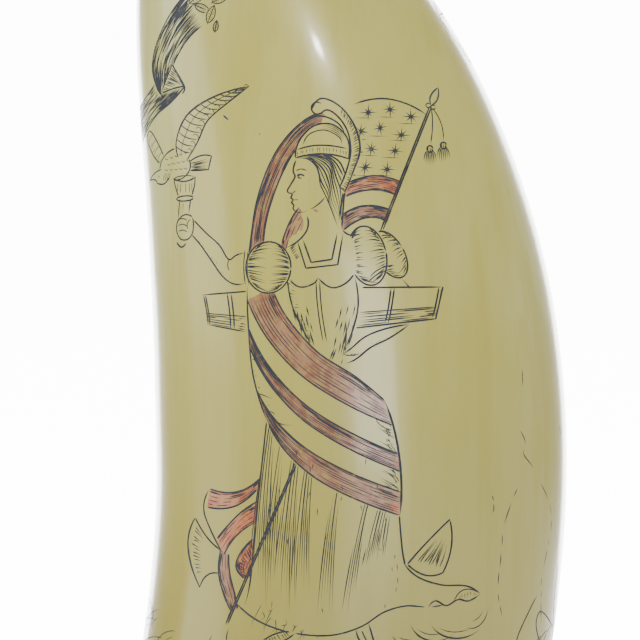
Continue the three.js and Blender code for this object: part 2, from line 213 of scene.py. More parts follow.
def oval(x, z, half_width, half_height, tilt=0.0, start=0.0, end=360.0):
    """An arc of an ellipse, its angles in degrees from +x, turned by tilt."""
    a = np.radians(np.linspace(start, end, 60))
    c, s = math.cos(math.radians(tilt)), math.sin(math.radians(tilt))
    px, pz = half_width * np.cos(a), half_height * np.sin(a)
    return sampled(np.column_stack([x + c * px - s * pz, z + s * px + c * pz]))


def stretch(line, start, end):
    """The part of a line between two shares of its length."""
    at = np.linspace(start, end, max(3, int(len(line) * abs(end - start)) + 1)) * (len(line) - 1)
    return np.column_stack([np.interp(at, np.arange(len(line)), line[:, k]) for k in (0, 1)])


def point_on(line, share):
    return stretch(line, share, share)[0]


def between(a, b, share):
    """The line a share of the way from line a to line b."""
    n = max(len(a), len(b))
    return stretch_to(a, n) * (1 - share) + stretch_to(b, n) * share


def stretch_to(line, count):
    at = np.linspace(0, len(line) - 1, count)
    return np.column_stack([np.interp(at, np.arange(len(line)), line[:, k]) for k in (0, 1)])


def joined(*lines):
    return np.vstack(lines)


def inside(points, outline):
    """Which of the points lie inside a closed outline, by crossings."""
    points = np.asarray(points, float)
    hit = np.zeros(len(points), bool)
    lo, hi = outline.min(0), outline.max(0)
    near = np.all((points >= lo) & (points <= hi), axis=1)
    if not near.any():
        return hit
    x, z = points[near, 0][:, None], points[near, 1][:, None]
    x0, z0 = outline[:, 0], outline[:, 1]
    x1, z1 = np.roll(x0, -1), np.roll(z0, -1)
    crosses = (z0 > z) != (z1 > z)
    with np.errstate(divide="ignore", invalid="ignore"):
        right = x < (x1 - x0) * (z - z0) / (z1 - z0) + x0
    hit[near] = (crosses & right).sum(1) % 2 == 1
    return hit


class Picture:
    """Cuts and stains on one face of the tooth, drawn from back to front."""

    def __init__(self, seed, facing):
        self.facing = facing
        self.cuts = []      # (points, width, share tapered at the start, share tapered at the end)
        self.stains = []    # (outline, tone, outlines drawn over it)
        self.random = np.random.RandomState(seed)

    def cut(self, line, width=LINE, taper=(0.12, 0.12)):
        self.cuts.append((np.asarray(line, float), width, taper))

    def cover(self, outline):
        """Takes away what is already drawn inside the outline, as a nearer form hides what is behind it."""
        kept = []
        for line, width, taper in self.cuts:
            hidden = inside(line, outline)
            if not hidden.any():
                kept.append((line, width, taper))
                continue
            for run in np.split(np.arange(len(line)), np.flatnonzero(np.diff(hidden)) + 1):
                if not hidden[run[0]] and len(run) > 1:
                    starts, ends = run[0] == 0, run[-1] == len(line) - 1
                    kept.append((line[run], width,
                                 (taper[0] if starts else 0.02, taper[1] if ends else 0.02)))
        self.cuts = kept
        self.stains = [(shape, tone, covers + [outline]) for shape, tone, covers in self.stains]

    def form(self, outline, width=LINE):
        """A closed form: hides what is behind it and is outlined."""
        self.cover(outline)
        self.cut(outline, width, (0.01, 0.01))

    def stain(self, outline, tone):
        self.stains.append((outline, tone, []))

    def jitter(self, size):
        return self.random.uniform(-size, size)

    def hatch(self, a, b, count, start=0.0, end=1.0, width=FINE, ragged=0.12, begin=0.0, stop=1.0,
              taper=(0.1, 0.7)):
        """Short cuts from line a towards line b, spread evenly along both."""
        for i in range(count):
            share = begin + (stop - begin) * min(1, max(0, (i + 0.5 + self.jitter(0.25)) / count))
            p, q = point_on(a, share), point_on(b, share)
            lo, hi = start + abs(self.jitter(ragged)), end + self.jitter(ragged)
            bow = np.array([q[1] - p[1], p[0] - q[0]]) * self.jitter(0.04)
            middle = p + (q - p) * (lo + hi) / 2 + bow
            self.cut(curve(p + (q - p) * lo, middle, p + (q - p) * hi), width, taper)

    def grain(self, a, b, rows, width=HAIR, dash=0.7, gap=0.12, first=0.0, last=1.0, taper=(0.25, 0.25)):
        """Rows of long dashes that run along the band between lines a and b."""
        for i in range(rows):
            share = first + (last - first) * (i + 0.5 + self.jitter(0.2)) / rows
            line = between(a, b, share)
            at = self.jitter(0.5) * gap
            while at < 1:
                length = dash * (1 + self.jitter(0.5))
                lo, hi = max(0, at), min(1, at + length)
                if hi - lo > 0.04:
                    self.cut(stretch(line, lo, hi), width * (1 + self.jitter(0.25)), taper)
                at += length + gap * (1 + self.jitter(0.8))


# ---- The front's picture ----

def staff(p, top, foot):
    """The flag's staff with its spear point and two tassels on cords."""
    top, foot = np.array(top), np.array(foot)
    along = (top - foot) / np.hypot(*(top - foot))
    aside = np.array([along[1], -along[0]])
    for side in (-0.16, 0.16):
        p.cut(straight(foot + aside * side, top + aside * side), LINE, (0.02, 0.02))
    point = top + along * 3.4
    for side in (-1, 1):
        p.cut(curve(top + along * 0.2, top + along * 1.5 + aside * 0.62 * side, point))
        p.cut(oval(*(top + aside * 0.42 * side), 0.42, 0.36), FINE)
    for swing, drop in ((0.5, 6.6), (2.7, 6.0)):
        knot = top + np.array([swing - 0.6, -drop])
        p.cut(curve(top, top + np.array([swing * 0.62, -drop * 0.45]), knot), FINE)
        tassel(p, knot)


def tassel(p, knot):
    head = oval(knot[0], knot[1] - 0.45, 0.5, 0.55)
    p.form(head)
    p.hatch(stretch(head, 0.5, 1.0), stretch(head, 0.5, 0.0), 5, 0.0, 0.9, FINE)
    for i in range(7):
        spread = (i - 3) / 3
        start = knot + np.array([spread * 0.45, -0.7])
        end = knot + np.array([spread * 0.95, -3.2 + 0.5 * abs(spread) + p.jitter(0.3)])
        p.cut(curve(start, (start + end) / 2 + np.array([spread * 0.2, 0.1]), end), FINE, (0.05, 0.6))


def star(p, x, z, size):
    turn = p.jitter(12)
    for i in range(4):
        a = math.radians(45 * i + turn + p.jitter(5))
        reach = size * (1 + p.jitter(0.12)) * (1.0 if i % 2 == 0 else 0.8)
        d = np.array([math.cos(a), math.sin(a)]) * reach
        p.cut(straight(np.array([x, z]) - d, np.array([x, z]) + d), LINE, (0.45, 0.45))


def stripe(p, upper, lower, tone, rows=7):
    """A coloured stripe of cloth: stained, edged, and grained along its length."""
    p.stain(joined(upper, lower[::-1]), tone)
    p.cut(upper, LINE, (0.02, 0.02))
    p.cut(lower, LINE, (0.02, 0.02))
    p.grain(upper, lower, rows, HAIR, 0.35, 0.05, 0.04, 0.96)
    p.grain(upper, lower, 3, FINE, 0.22, 0.35, 0.02, 0.3)


def flag(p):
    """The flag behind the head: a field of stars above, and its first stripes."""
    top = curve((0.2, 88.6), (4.6, 89.6), (8.6, 88.9), (12.3, 86.9))
    field_foot = curve((-2.6, 74.4), (0.4, 76.2), (4.0, 76.9), (8.2, 75.8))
    p.cut(top)
    columns = 3
    rows = 4
    for row in range(rows):
        line = between(top, field_foot, 0.14 + 0.25 * row)
        for column in range(columns):
            x, z = point_on(line, 0.22 + 0.29 * column - 0.03 * row)
            star(p, x + p.jitter(0.3), z + p.jitter(0.25), 1.45)
            p.cut(straight((x - 2.2, z - 1.1), (x + 1.2, z - 1.15)), HAIR * 0.8, (0.4, 0.5))
    stripes = [field_foot,
               curve((-2.8, 72.4), (0.2, 74.0), (3.8, 74.6), (7.4, 73.7)),
               curve((-2.6, 69.6), (0.4, 71.6), (3.4, 72.0), (6.5, 71.2)),
               curve((-1.8, 67.6), (1.0, 69.6), (3.6, 70.1), (5.8, 69.3))]
    stripe(p, stripes[0], stripes[1], RED)
    stripe(p, stripes[2], stripes[3], RUST)


def billow(p):
    """The cloth that sweeps from the flag round behind the head and down to the near shoulder."""
    outer = curve((-4.6, 87.4), (-8.6, 85.4), (-12.6, 80.6), (-15.4, 73.6), (-16.6, 66.4), (-16.9, 63.0))
    inner = curve((-5.0, 85.2), (-8.0, 82.8), (-11.0, 78.2), (-13.4, 72.0), (-14.4, 67.0), (-14.2, 63.4))
    stripe(p, outer, inner, RUST, 6)
    p.cut(between(outer, inner, 0.5), FINE)
    back = curve((-7.4, 73.4), (-9.6, 70.4), (-11.0, 67.4), (-11.7, 64.6))
    front = curve((-5.4, 71.0), (-6.9, 68.4), (-7.9, 66.2), (-8.4, 64.2))
    stripe(p, back, front, RUST, 5)


def head(p):
    """A plain profile on textbook proportions, under a helmet with a curled crest."""
    HEAD = 11.4                          # chin to crown
    chin, crown = 71.0, 71.0 + HEAD
    front = -9.6                         # the plane of the brow
    eye, nose, mouth = chin + HEAD * 0.5, chin + HEAD * 0.27, chin + HEAD * 0.17
    skull = loop((front + 0.2, eye + 1.9), (front + 1.6, crown - 1.0), (front + 5.0, crown),
                 (front + 8.2, crown - 2.6),
                 (front + 8.0, eye - 2.4), (front + 5.2, chin + 1.6), (front + 1.6, chin - 0.3))
    p.cover(skull)
    profile = curve((front + 0.5, eye + 2.9), (front + 0.06, eye + 1.7), (front - 0.02, eye + 0.8),
                    (front + 0.28, eye + 0.1), (front - 0.35, eye - 1.1), (front - 1.0, nose + 0.35),
                    (front - 0.72, nose), (front - 0.18, nose - 0.12), (front - 0.3, mouth + 0.62),
                    (front - 0.42, mouth + 0.36), (front - 0.02, mouth), (front - 0.32, mouth - 0.42),
                    (front + 0.1, mouth - 0.85), (front - 0.05, chin + 0.55), (front + 0.35, chin + 0.06),
                    (front + 1.3, chin - 0.12), (front + 2.6, chin + 0.35))
    p.cut(profile, LINE, (0.05, 0.3))
    p.cut(straight((front - 0.02, mouth), (front + 0.95, mouth + 0.05)), FINE, (0.05, 0.6))
    p.cut(curve((front - 0.25, nose + 0.05), (front + 0.2, nose + 0.2), (front + 0.3, nose + 0.5)), FINE)
    p.cut(curve((front + 0.55, eye + 0.05), (front + 1.0, eye + 0.42), (front + 1.9, eye + 0.1)))
    p.cut(curve((front + 0.6, eye + 0.0), (front + 1.0, eye - 0.22), (front + 1.5, eye - 0.1)), HAIR)
    p.cut(oval(front + 0.95, eye + 0.08, 0.14, 0.24), FINE)
    p.cut(curve((front + 0.45, eye + 0.95), (front + 1.2, eye + 1.3), (front + 2.2, eye + 1.0)), FINE)
    p.cut(curve((front + 2.6, chin + 0.35), (front + 4.4, chin + 1.5), (front + 5.6, chin + 3.2)), FINE,
          (0.3, 0.5))
    hair(p, front, eye, chin)
    helmet(p, front, eye)


def hair(p, front, eye, chin):
    """Waves from the temple over the ear, gathered into a lock that falls behind the neck."""
    face_side = curve((front + 0.7, eye + 3.0), (front + 2.6, eye + 2.8), (front + 4.0, eye + 1.2),
                      (front + 4.4, eye - 1.2),
                      (front + 5.2, chin + 2.8), (front + 6.2, chin + 0.4), (front + 7.3, chin - 2.6))
    nape_side = curve((front + 1.0, eye + 3.6), (front + 4.4, eye + 3.9), (front + 7.4, eye + 2.6),
                      (front + 8.6, eye - 0.4),
                      (front + 8.3, chin + 2.4), (front + 8.1, chin + 0.0), (front + 7.9, chin - 2.8))
    p.cover(joined(face_side, nape_side[::-1]))
    p.cut(face_side, FINE)
    p.cut(nape_side)
    for i in range(9):
        share = (i + 0.6) / 9.5
        lock = between(face_side, nape_side, share).copy()
        wave = 0.22 * np.sin(np.linspace(0, 4.5 * math.pi, len(lock)) + i * 0.7)
        lock[:, 0] += wave
        lo, hi = max(0, 0.05 + p.jitter(0.1)), 0.93 + p.jitter(0.06)
        p.cut(stretch(lock, lo, hi), FINE if i % 2 else LINE, (0.3, 0.5))


def helmet(p, front, eye):
    rim = curve((front + 0.3, eye + 3.1), (front + 3.0, eye + 3.7), (front + 6.0, eye + 3.7),
                (front + 9.0, eye + 3.0))
    dome = curve((front + 0.3, eye + 3.1), (front + 1.0, eye + 6.0), (front + 3.4, eye + 8.4),
                 (front + 6.4, eye + 8.6),
                 (front + 8.8, eye + 6.4), (front + 9.0, eye + 3.0))
    p.form(joined(dome, rim[::-1]))
    band = curve((front + 0.5, eye + 4.4), (front + 4.2, eye + 5.2), (front + 8.9, eye + 4.6))
    p.cut(band)
    p.hatch(band, rim, 16, 0.15, 0.85, HAIR)
    bowl = curve((front + 1.5, eye + 5.0), (front + 2.6, eye + 7.0), (front + 5.0, eye + 7.7),
                 (front + 7.4, eye + 6.6), (front + 7.9, eye + 5.2))
    p.cut(bowl, FINE)
    for share in (0.25, 0.5, 0.75):
        p.cut(stretch(between(dome[10:-10], bowl, share), 0.45, 0.95), HAIR, (0.5, 0.3))
    comb(p, front, eye)


def comb(p, front, eye):
    """The helmet's crest: a curl in front, and a mane that falls behind."""
    outer = curve((front + 3.0, eye + 11.0), (front + 4.6, eye + 12.9), (front + 7.6, eye + 11.6),
                  (front + 10.0, eye + 8.4),
                  (front + 10.9, eye + 4.6), (front + 9.9, eye + 1.2), (front + 8.4, eye - 2.4))
    inner = curve((front + 4.4, eye + 10.2), (front + 5.6, eye + 11.0), (front + 7.4, eye + 9.8),
                  (front + 8.9, eye + 7.4),
                  (front + 9.4, eye + 4.4), (front + 8.8, eye + 1.4), (front + 7.6, eye - 1.6))
    p.form(joined(outer, inner[::-1]))
    p.cut(oval(front + 3.9, eye + 11.3, 0.95, 1.0, 0, 40, 330))
    p.hatch(stretch(outer, 0.3, 1.0), stretch(inner, 0.26, 1.0), 34, 0.0, 0.75, FINE)
    p.cut(stretch(outer, 0.1, 1.0), BOLD, (0.4, 0.3))
    peak = curve((front + 1.8, eye + 8.6), (front + 4.0, eye + 10.0), (front + 6.8, eye + 9.2),
                 (front + 8.4, eye + 7.2))
    p.cut(peak)


def puff(p, centre, half_width, half_height, tilt, pleats=13):
    """A gathered sleeve, its pleats drawn in from both of its ends."""
    outline = oval(*centre, half_width, half_height, tilt)
    p.form(outline)
    c, s = math.cos(math.radians(tilt)), math.sin(math.radians(tilt))

    def place(u, v):
        across, up = u * half_width, v * half_height
        return centre[0] + c * across - s * up, centre[1] + s * across + c * up

    for side in (-1, 1):
        for i in range(pleats):
            v = -0.86 + 1.72 * (i + p.jitter(0.3) + 0.5) / pleats
            edge = side * math.sqrt(1 - v * v) * 0.97
            reach = edge - side * (0.45 + 0.5 * p.random.rand())
            middle = place((edge + reach) / 2, v * 1.12 + 0.03)
            p.cut(curve(place(edge, v * 0.9), middle, place(reach, v * 1.2)), LINE if i % 3 == 0 else FINE,
                  (0.05, 0.75))


def near_arm(p):
    """The arm raised with the torch: its sleeve, forearm and closed hand."""
    over = curve((-17.4, 64.4), (-19.0, 63.9), (-20.2, 63.2), (-21.8, 65.6), (-24.0, 67.6), (-26.2, 69.9))
    under = curve((-17.4, 59.4), (-19.4, 59.2), (-21.2, 60.4), (-23.2, 63.2), (-25.2, 66.0), (-27.0, 67.9))
    p.cover(joined(over, under[::-1]))
    p.cut(over)
    p.cut(under)
    p.cut(curve((-20.2, 63.2), (-20.4, 62.2), (-20.1, 61.4)), FINE)
    p.hatch(stretch(under, 0.2, 0.95), stretch(over, 0.2, 0.95), 26, 0.02, 0.14, HAIR)
    torch(p)
    fist = loop((-26.3, 70.2), (-27.6, 70.6), (-28.7, 69.6), (-28.9, 68.0), (-28.2, 66.6), (-27.0, 66.6),
                (-26.2, 67.8))
    p.form(fist)
    for i in range(3):
        z = 69.7 - 0.95 * i
        p.cut(curve((-28.8 + 0.05 * i, z), (-27.9, z + 0.3), (-27.1, z - 0.1)), FINE)
    p.cut(curve((-26.5, 69.9), (-27.1, 69.2), (-27.0, 68.2)), FINE)
    puff(p, (-13.7, 61.9), 3.7, 4.2, -4, 19)
    for x in (-17.2, -17.75):
        p.cut(curve((x + 0.25, 65.0), (x, 61.9), (x + 0.3, 58.9)), FINE)


def torch(p):
    """A short torch: grip, collar and cup, with a bird alighting on it."""
    grip = [curve((-28.9, 66.2), (-28.6, 70.6), (-28.4, 73.2)),
            curve((-27.3, 66.0), (-26.9, 70.6), (-26.5, 73.4))]
    p.cover(joined(grip[0], grip[1][::-1]))
    bird(p)
    cup = joined(curve((-28.5, 73.4), (-29.0, 74.8), (-29.4, 76.6)),
                 curve((-29.4, 76.6), (-27.6, 76.1), (-25.8, 76.8)),
                 curve((-25.8, 76.8), (-26.0, 75.0), (-26.5, 73.5)), straight((-26.5, 73.5), (-28.5, 73.4)))
    p.form(cup)
    p.cut(oval(-27.6, 76.6, 1.75, 0.45, 3), FINE)
    for x in (-28.7, -28.2, -27.4, -26.8, -26.4):
        p.cut(straight((x, 75.9), (x + 0.1 * (x + 27.5), 74.2)), HAIR)
    collar = oval(-27.5, 73.3, 1.45, 0.42, 4)
    p.form(collar)
    for line in grip:
        p.cut(line)
    p.cut(curve((-28.9, 66.2), (-28.1, 65.3), (-27.3, 66.0)), BOLD)
    p.cut(straight((-28.2, 66.3), (-27.8, 72.6)), HAIR)


def feathers(p, lead, trail, count, width=FINE):
    """A wing between its leading and trailing edges: rows of overlapping quills."""
    for i in range(count):
        share = (i + 0.4) / count
        root = point_on(lead, share * 0.93)
        tip = point_on(trail, min(1, share + 0.06))
        side = np.array([tip[1] - root[1], root[0] - tip[0]]) * 0.12
        p.cut(curve(root, (root + tip) / 2 + side, tip), width, (0.1, 0.25))
        p.cut(curve(tip, tip + (root - tip) * 0.18 - side * 1.4, tip + (root - tip) * 0.32 - side * 0.4),
              HAIR)


def bird(p):
    """A bird with raised wings, settling on the torch's cup."""
    far_wing = (curve((-30.8, 79.6), (-32.2, 82.8), (-33.4, 84.6), (-33.9, 83.2)),
                curve((-30.6, 78.2), (-31.8, 79.2), (-32.9, 80.6), (-33.9, 83.2)))
    p.form(joined(far_wing[0], far_wing[1][::-1]))
    feathers(p, far_wing[0], far_wing[1], 6, HAIR)
    tail = joined(curve((-26.9, 79.2), (-24.9, 80.3), (-23.1, 80.2)),
                  straight((-23.1, 80.2), (-23.6, 78.0)),
                  curve((-23.6, 78.0), (-25.3, 77.9), (-27.2, 77.9)))
    p.form(tail)
    p.hatch(straight((-26.6, 79.1), (-26.9, 78.0)), straight((-23.2, 80.1), (-23.7, 78.1)), 7, 0.0, 0.95,
            FINE)
    lead = curve((-28.6, 80.0), (-28.9, 83.2), (-27.0, 87.2), (-22.6, 90.0), (-16.9, 91.6))
    trail = curve((-27.2, 79.6), (-25.4, 82.6), (-23.8, 86.0), (-20.6, 88.8), (-16.9, 91.6))
    body = loop((-31.6, 77.6), (-31.2, 80.0), (-29.2, 81.5), (-27.2, 80.4), (-26.6, 78.6), (-27.4, 77.0),
                (-29.0, 76.4))
    p.form(body)
    p.form(joined(lead, trail[::-1]))
    p.cut(lead, BOLD, (0.3, 0.3))
    feathers(p, stretch(lead, 0.08, 0.96), trail, 13)
    p.cut(between(lead, trail, 0.35), HAIR)
    for row in range(3):
        for i in range(5):
            x, z = -30.6 + i * 0.8 + 0.4 * (row % 2), 79.9 - row * 0.9 + 0.25 * i * (1 - row * 0.4)
            p.cut(curve((x - 0.3, z + 0.15), (x, z - 0.2), (x + 0.32, z + 0.12)), HAIR)
    beak = joined(curve((-31.4, 78.2), (-32.6, 77.6), (-33.5, 76.4)),
                  curve((-33.5, 76.4), (-32.6, 76.5), (-32.2, 75.9)),
                  curve((-32.2, 75.9), (-31.0, 75.8), (-30.2, 76.9)))
    p.form(beak)
    p.cut(oval(-31.9, 77.0, 0.13, 0.13), FINE)
    for i in range(4):
        p.cut(curve((-31.2 + 0.3 * i, 76.2), (-31.0 + 0.3 * i, 77.0), (-30.7 + 0.25 * i, 77.6)), HAIR)
    for x in (-28.6, -27.9):
        p.cut(straight((x, 77.2), (x + 0.1, 76.3)))


def far_arm(p):
    """The arm behind the flag's staff: its sleeve, and the forearm that comes back to the waist."""
    for a, b in (((6.9, 61.4), (9.6, 58.4)), ((3.2, 60.0), (4.2, 58.6))):
        p.cut(straight(a, b))
    puff(p, (6.2, 64.0), 2.3, 4.2, 30, 13)
    puff(p, (2.5, 63.8), 3.1, 4.9, 12, 17)
    for lift in (0, 0.7):
        p.cut(curve((2.6 + lift * 0.3, 59.5 + lift), (4.6, 61.0 + lift), (7.0, 61.7 + lift * 0.8)), FINE)


def far_hand(p):
    """The forearm that comes forward from under the cask, and the hand that rests at the waist."""
    over = curve((9.4, 52.6), (5.6, 51.9), (2.2, 50.6), (0.0, 48.8), (-1.6, 47.6))
    under = curve((9.4, 52.6), (6.2, 50.4), (3.0, 48.8), (0.6, 46.9), (-1.2, 46.2))
    p.cover(joined(over, under[::-1]))
    p.cut(over)
    p.cut(under)
    for i in range(3):
        p.cut(curve((-1.4 + 0.5 * i, 47.8 - 0.1 * i), (-0.6 + 0.5 * i, 47.5), (0.2 + 0.5 * i, 47.9)), HAIR)
    p.hatch(stretch(under, 0.05, 0.9), stretch(over, 0.05, 0.9), 16, 0.02, 0.25, HAIR)


def cask(p):
    """A long hooped case carried across the back, seen behind the waist on both sides."""
    near = ((-24.8, 57.4), (-17.0, 58.0)), ((-24.0, 52.6), (-16.6, 51.2)), (0.05, 0.09, 0.55, 0.63)
    far = ((1.6, 58.6), (14.9, 58.7)), ((0.6, 52.0), (13.7, 53.5)), (0.36, 0.4, 0.95, 0.99)
    for over, below, hoops in (near, far):
        top, foot = straight(*over), straight(*below)
        edge = between(top, foot, 0.62)
        p.form(joined(top, foot[::-1]))
        p.cut(edge, FINE)
        p.grain(edge, foot, 5, FINE, 0.5, 0.08, 0.05, 0.95)
        for share in hoops:
            bulge = point_on(edge, share) + np.array([0.12, 0])
            p.cut(curve(point_on(top, share), bulge, point_on(foot, share)))


def bodice(p):
    left = curve((-10.6, 60.2), (-9.8, 55.6), (-8.2, 52.0), (-6.9, 49.6))
    right = curve((0.4, 60.4), (1.0, 56.0), (0.2, 52.0), (-1.2, 48.6))
    p.cover(joined(left, right[::-1]))
    p.cut(left)
    p.cut(right)
    bust = [curve((-10.4, 60.2), (-8.6, 58.7), (-6.4, 59.2), (-5.6, 60.3)),
            curve((-5.6, 60.3), (-3.4, 58.6), (-1.2, 59.2), (0.4, 61.0))]
    for line in bust:
        p.cut(line)
    for x in (-5.9, -5.3):
        p.cut(curve((x, 59.9), (x + 0.3, 55.0), (x + 1.2, 49.5)), FINE)
    middle = curve((-5.6, 59.0), (-5.0, 54.0), (-4.4, 49.4))
    p.hatch(left, middle, 22, 0.0, 0.2, HAIR)
    for i in range(46):
        edge, inwards = (left, 1) if i % 2 else (right, -1)
        share = 0.35 + 0.62 * p.random.rand()
        across = (p.random.rand() ** 1.6) * 0.55
        a, b = point_on(edge, share), point_on(middle, share)
        at = a + (b - a) * across
        length = 1.6 + 2.2 * share * p.random.rand()
        bend = at + np.array([0.18 * inwards, -length / 2])
        end = at + np.array([0.5 * inwards, -length])
        p.cut(curve(at, bend, end), FINE if i % 3 else LINE, (0.4, 0.6))


def shoulders(p):
    """The neck and the square neckline with its plain border."""
    p.cover(joined(curve((-8.6, 71.0), (-7.9, 68.6), (-10.4, 65.8), (-10.4, 60.6)),
                   curve((-10.4, 60.6), (-5.6, 60.3), (0.4, 61.0)),
                   curve((0.4, 61.0), (0.0, 66.0), (-1.7, 68.4), (-2.2, 70.6))))
    p.cut(curve((-7.6, 70.9), (-7.2, 68.6), (-8.4, 66.6), (-10.6, 65.2)))
    p.cut(curve((-2.3, 69.0), (-1.6, 68.0), (-0.4, 67.2), (1.4, 67.4)))
    for gap in (0.0, 0.95):
        p.cut(straight((-8.1 - gap, 66.6), (-6.7 - gap * 0.9, 62.7 - gap), (-3.3 + gap, 63.2 - gap * 0.9),
                       (-2.4 + gap, 67.6)), LINE)
    p.hatch(straight((-10.3, 65.0), (-9.2, 63.0)), straight((-8.6, 66.4), (-8.1, 64.0)), 7, 0.0, 0.7, FINE)


def skirt(p):
    left = curve((-14.0, 37.0), (-15.0, 28.0), (-15.9, 19.0), (-16.6, 11.0), (-17.6, 6.4))
    right = curve((7.6, 24.0), (7.9, 18.6), (8.6, 13.6), (10.4, 10.6))
    hem = curve((-19.0, 7.0), (-15.2, 4.0), (-9.8, 2.2), (-3.6, 1.8), (1.4, 3.2), (5.2, 5.6), (8.8, 6.6),
                (12.6, 6.4), (16.0, 7.0))
    p.cover(joined(left, hem[10:], right[::-1]))
    p.cut(left)
    p.cut(right)
    p.cut(hem)
    p.hatch(stretch(hem, 0.1, 0.4), between(left, right, 0.5), 18, 0.0, 0.03, HAIR)
    fold_shading(p, hem)
    train(p)


def fold_shading(p, hem):
    """Long folds fanning from the hip to the hem, dark in their hollows."""
    top = curve((-13.8, 36.5), (-8.0, 31.2), (-1.0, 27.0), (7.4, 22.6))
    folds = ((0.03, 0.06, 0.95, 10), (0.14, 0.13, 0.9, 6), (0.26, 0.24, 0.93, 9), (0.36, 0.36, 0.85, 8),
             (0.58, 0.53, 0.97, 6), (0.80, 0.68, 0.9, 5), (0.92, 0.84, 0.55, 12))
    for start, end, reach, count in folds:
        for i in range(count):
            lean = (i - count / 2) * 0.008
            a = point_on(top, min(0.99, max(0.01, start + lean)))
            b = point_on(hem, min(0.8, max(0.05, 0.1 + 0.62 * end + lean * 1.8)))
            lo = max(0.0, p.jitter(0.12) + (0.02 if i % 2 else 0.3))
            hi = min(0.99, reach * (0.72 + 0.26 * p.random.rand()))
            sag = np.array([-0.9 + 1.1 * end, 0]) + np.array([(0.3 - end) * 0.8, 0])
            line = curve(a, a + (b - a) * 0.45 + sag, b)
            p.cut(stretch(line, lo, hi), (FINE, HAIR, HAIR)[i % 3], (0.35, 0.45))


def train(p):
    """The skirt's train, thrown out to the side over a pointed leaf."""
    leaf = joined(curve((9.0, 13.4), (12.0, 16.8), (15.9, 20.7)),
                  curve((15.9, 20.7), (16.2, 16.4), (14.8, 12.0)),
                  curve((14.8, 12.0), (12.0, 11.6), (9.0, 13.4)))
    p.form(leaf)
    p.hatch(straight((10.0, 13.4), (14.4, 12.4)), straight((14.6, 18.6), (15.9, 18.0)), 9, 0.02, 0.85, FINE)
    upper = curve((8.2, 14.0), (10.6, 11.4), (14.6, 10.0), (18.6, 9.8), (21.0, 8.5))
    under = curve((21.0, 8.5), (19.0, 7.3), (17.4, 7.6), (15.4, 6.6), (13.6, 7.4), (12.4, 6.2))
    p.cover(joined(upper, under, straight((12.4, 6.2), (8.2, 8.0))))
    p.cut(upper)
    p.cut(under)
    p.cut(curve((21.0, 8.5), (18.4, 9.2), (16.6, 7.3)), FINE)
    p.hatch(curve((20.6, 8.5), (18.8, 8.9), (17.4, 8.0)), curve((20.4, 8.2), (18.8, 7.6), (17.2, 7.6)), 7,
            0, 0.8, HAIR)


def sash(p):
    """The striped sash: from under the near sleeve, round the hip, to the far side."""
    left = curve((-17.2, 59.0), (-17.0, 52.0), (-16.2, 44.0), (-13.8, 36.4))
    right = curve((5.4, 40.0), (7.2, 34.0), (8.0, 27.4), (7.8, 21.4))

    def across(at_left, at_right):
        a, b = point_on(left, at_left), point_on(right, at_right)
        run = b - a
        return curve(a, a + run * np.array([0.17, 0.36]), a + run * np.array([0.46, 0.68]), b)

    edges = [curve((-13.0, 58.4), (-10.6, 53.6), (-5.6, 48.0), (0.6, 44.0), (5.4, 40.0))]
    for at_left, at_right in ((0.10, 0.22), (0.30, 0.47), (0.44, 0.62), (0.74, 0.80), (1.0, 1.0)):
        edges.append(across(at_left, at_right))
    p.cover(joined(edges[0], right, edges[-1][::-1], left[::-1]))
    p.hatch(right, between(left, right, 0.5), 60, 0.0, 0.2, HAIR)
    for upper, lower in ((0, 1), (2, 3), (4, 5)):
        band = joined(edges[upper], edges[lower][::-1])
        p.cover(band)
        stripe(p, edges[upper], edges[lower], RUST, 8)
    p.cut(left)
    p.cut(right, BOLD)
    p.hatch(stretch(left, 0.35, 1), edges[2], 10, 0.0, 0.12, FINE)
    p.stain(oval(7.1, 22.6, 0.7, 1.0, 20), RED)


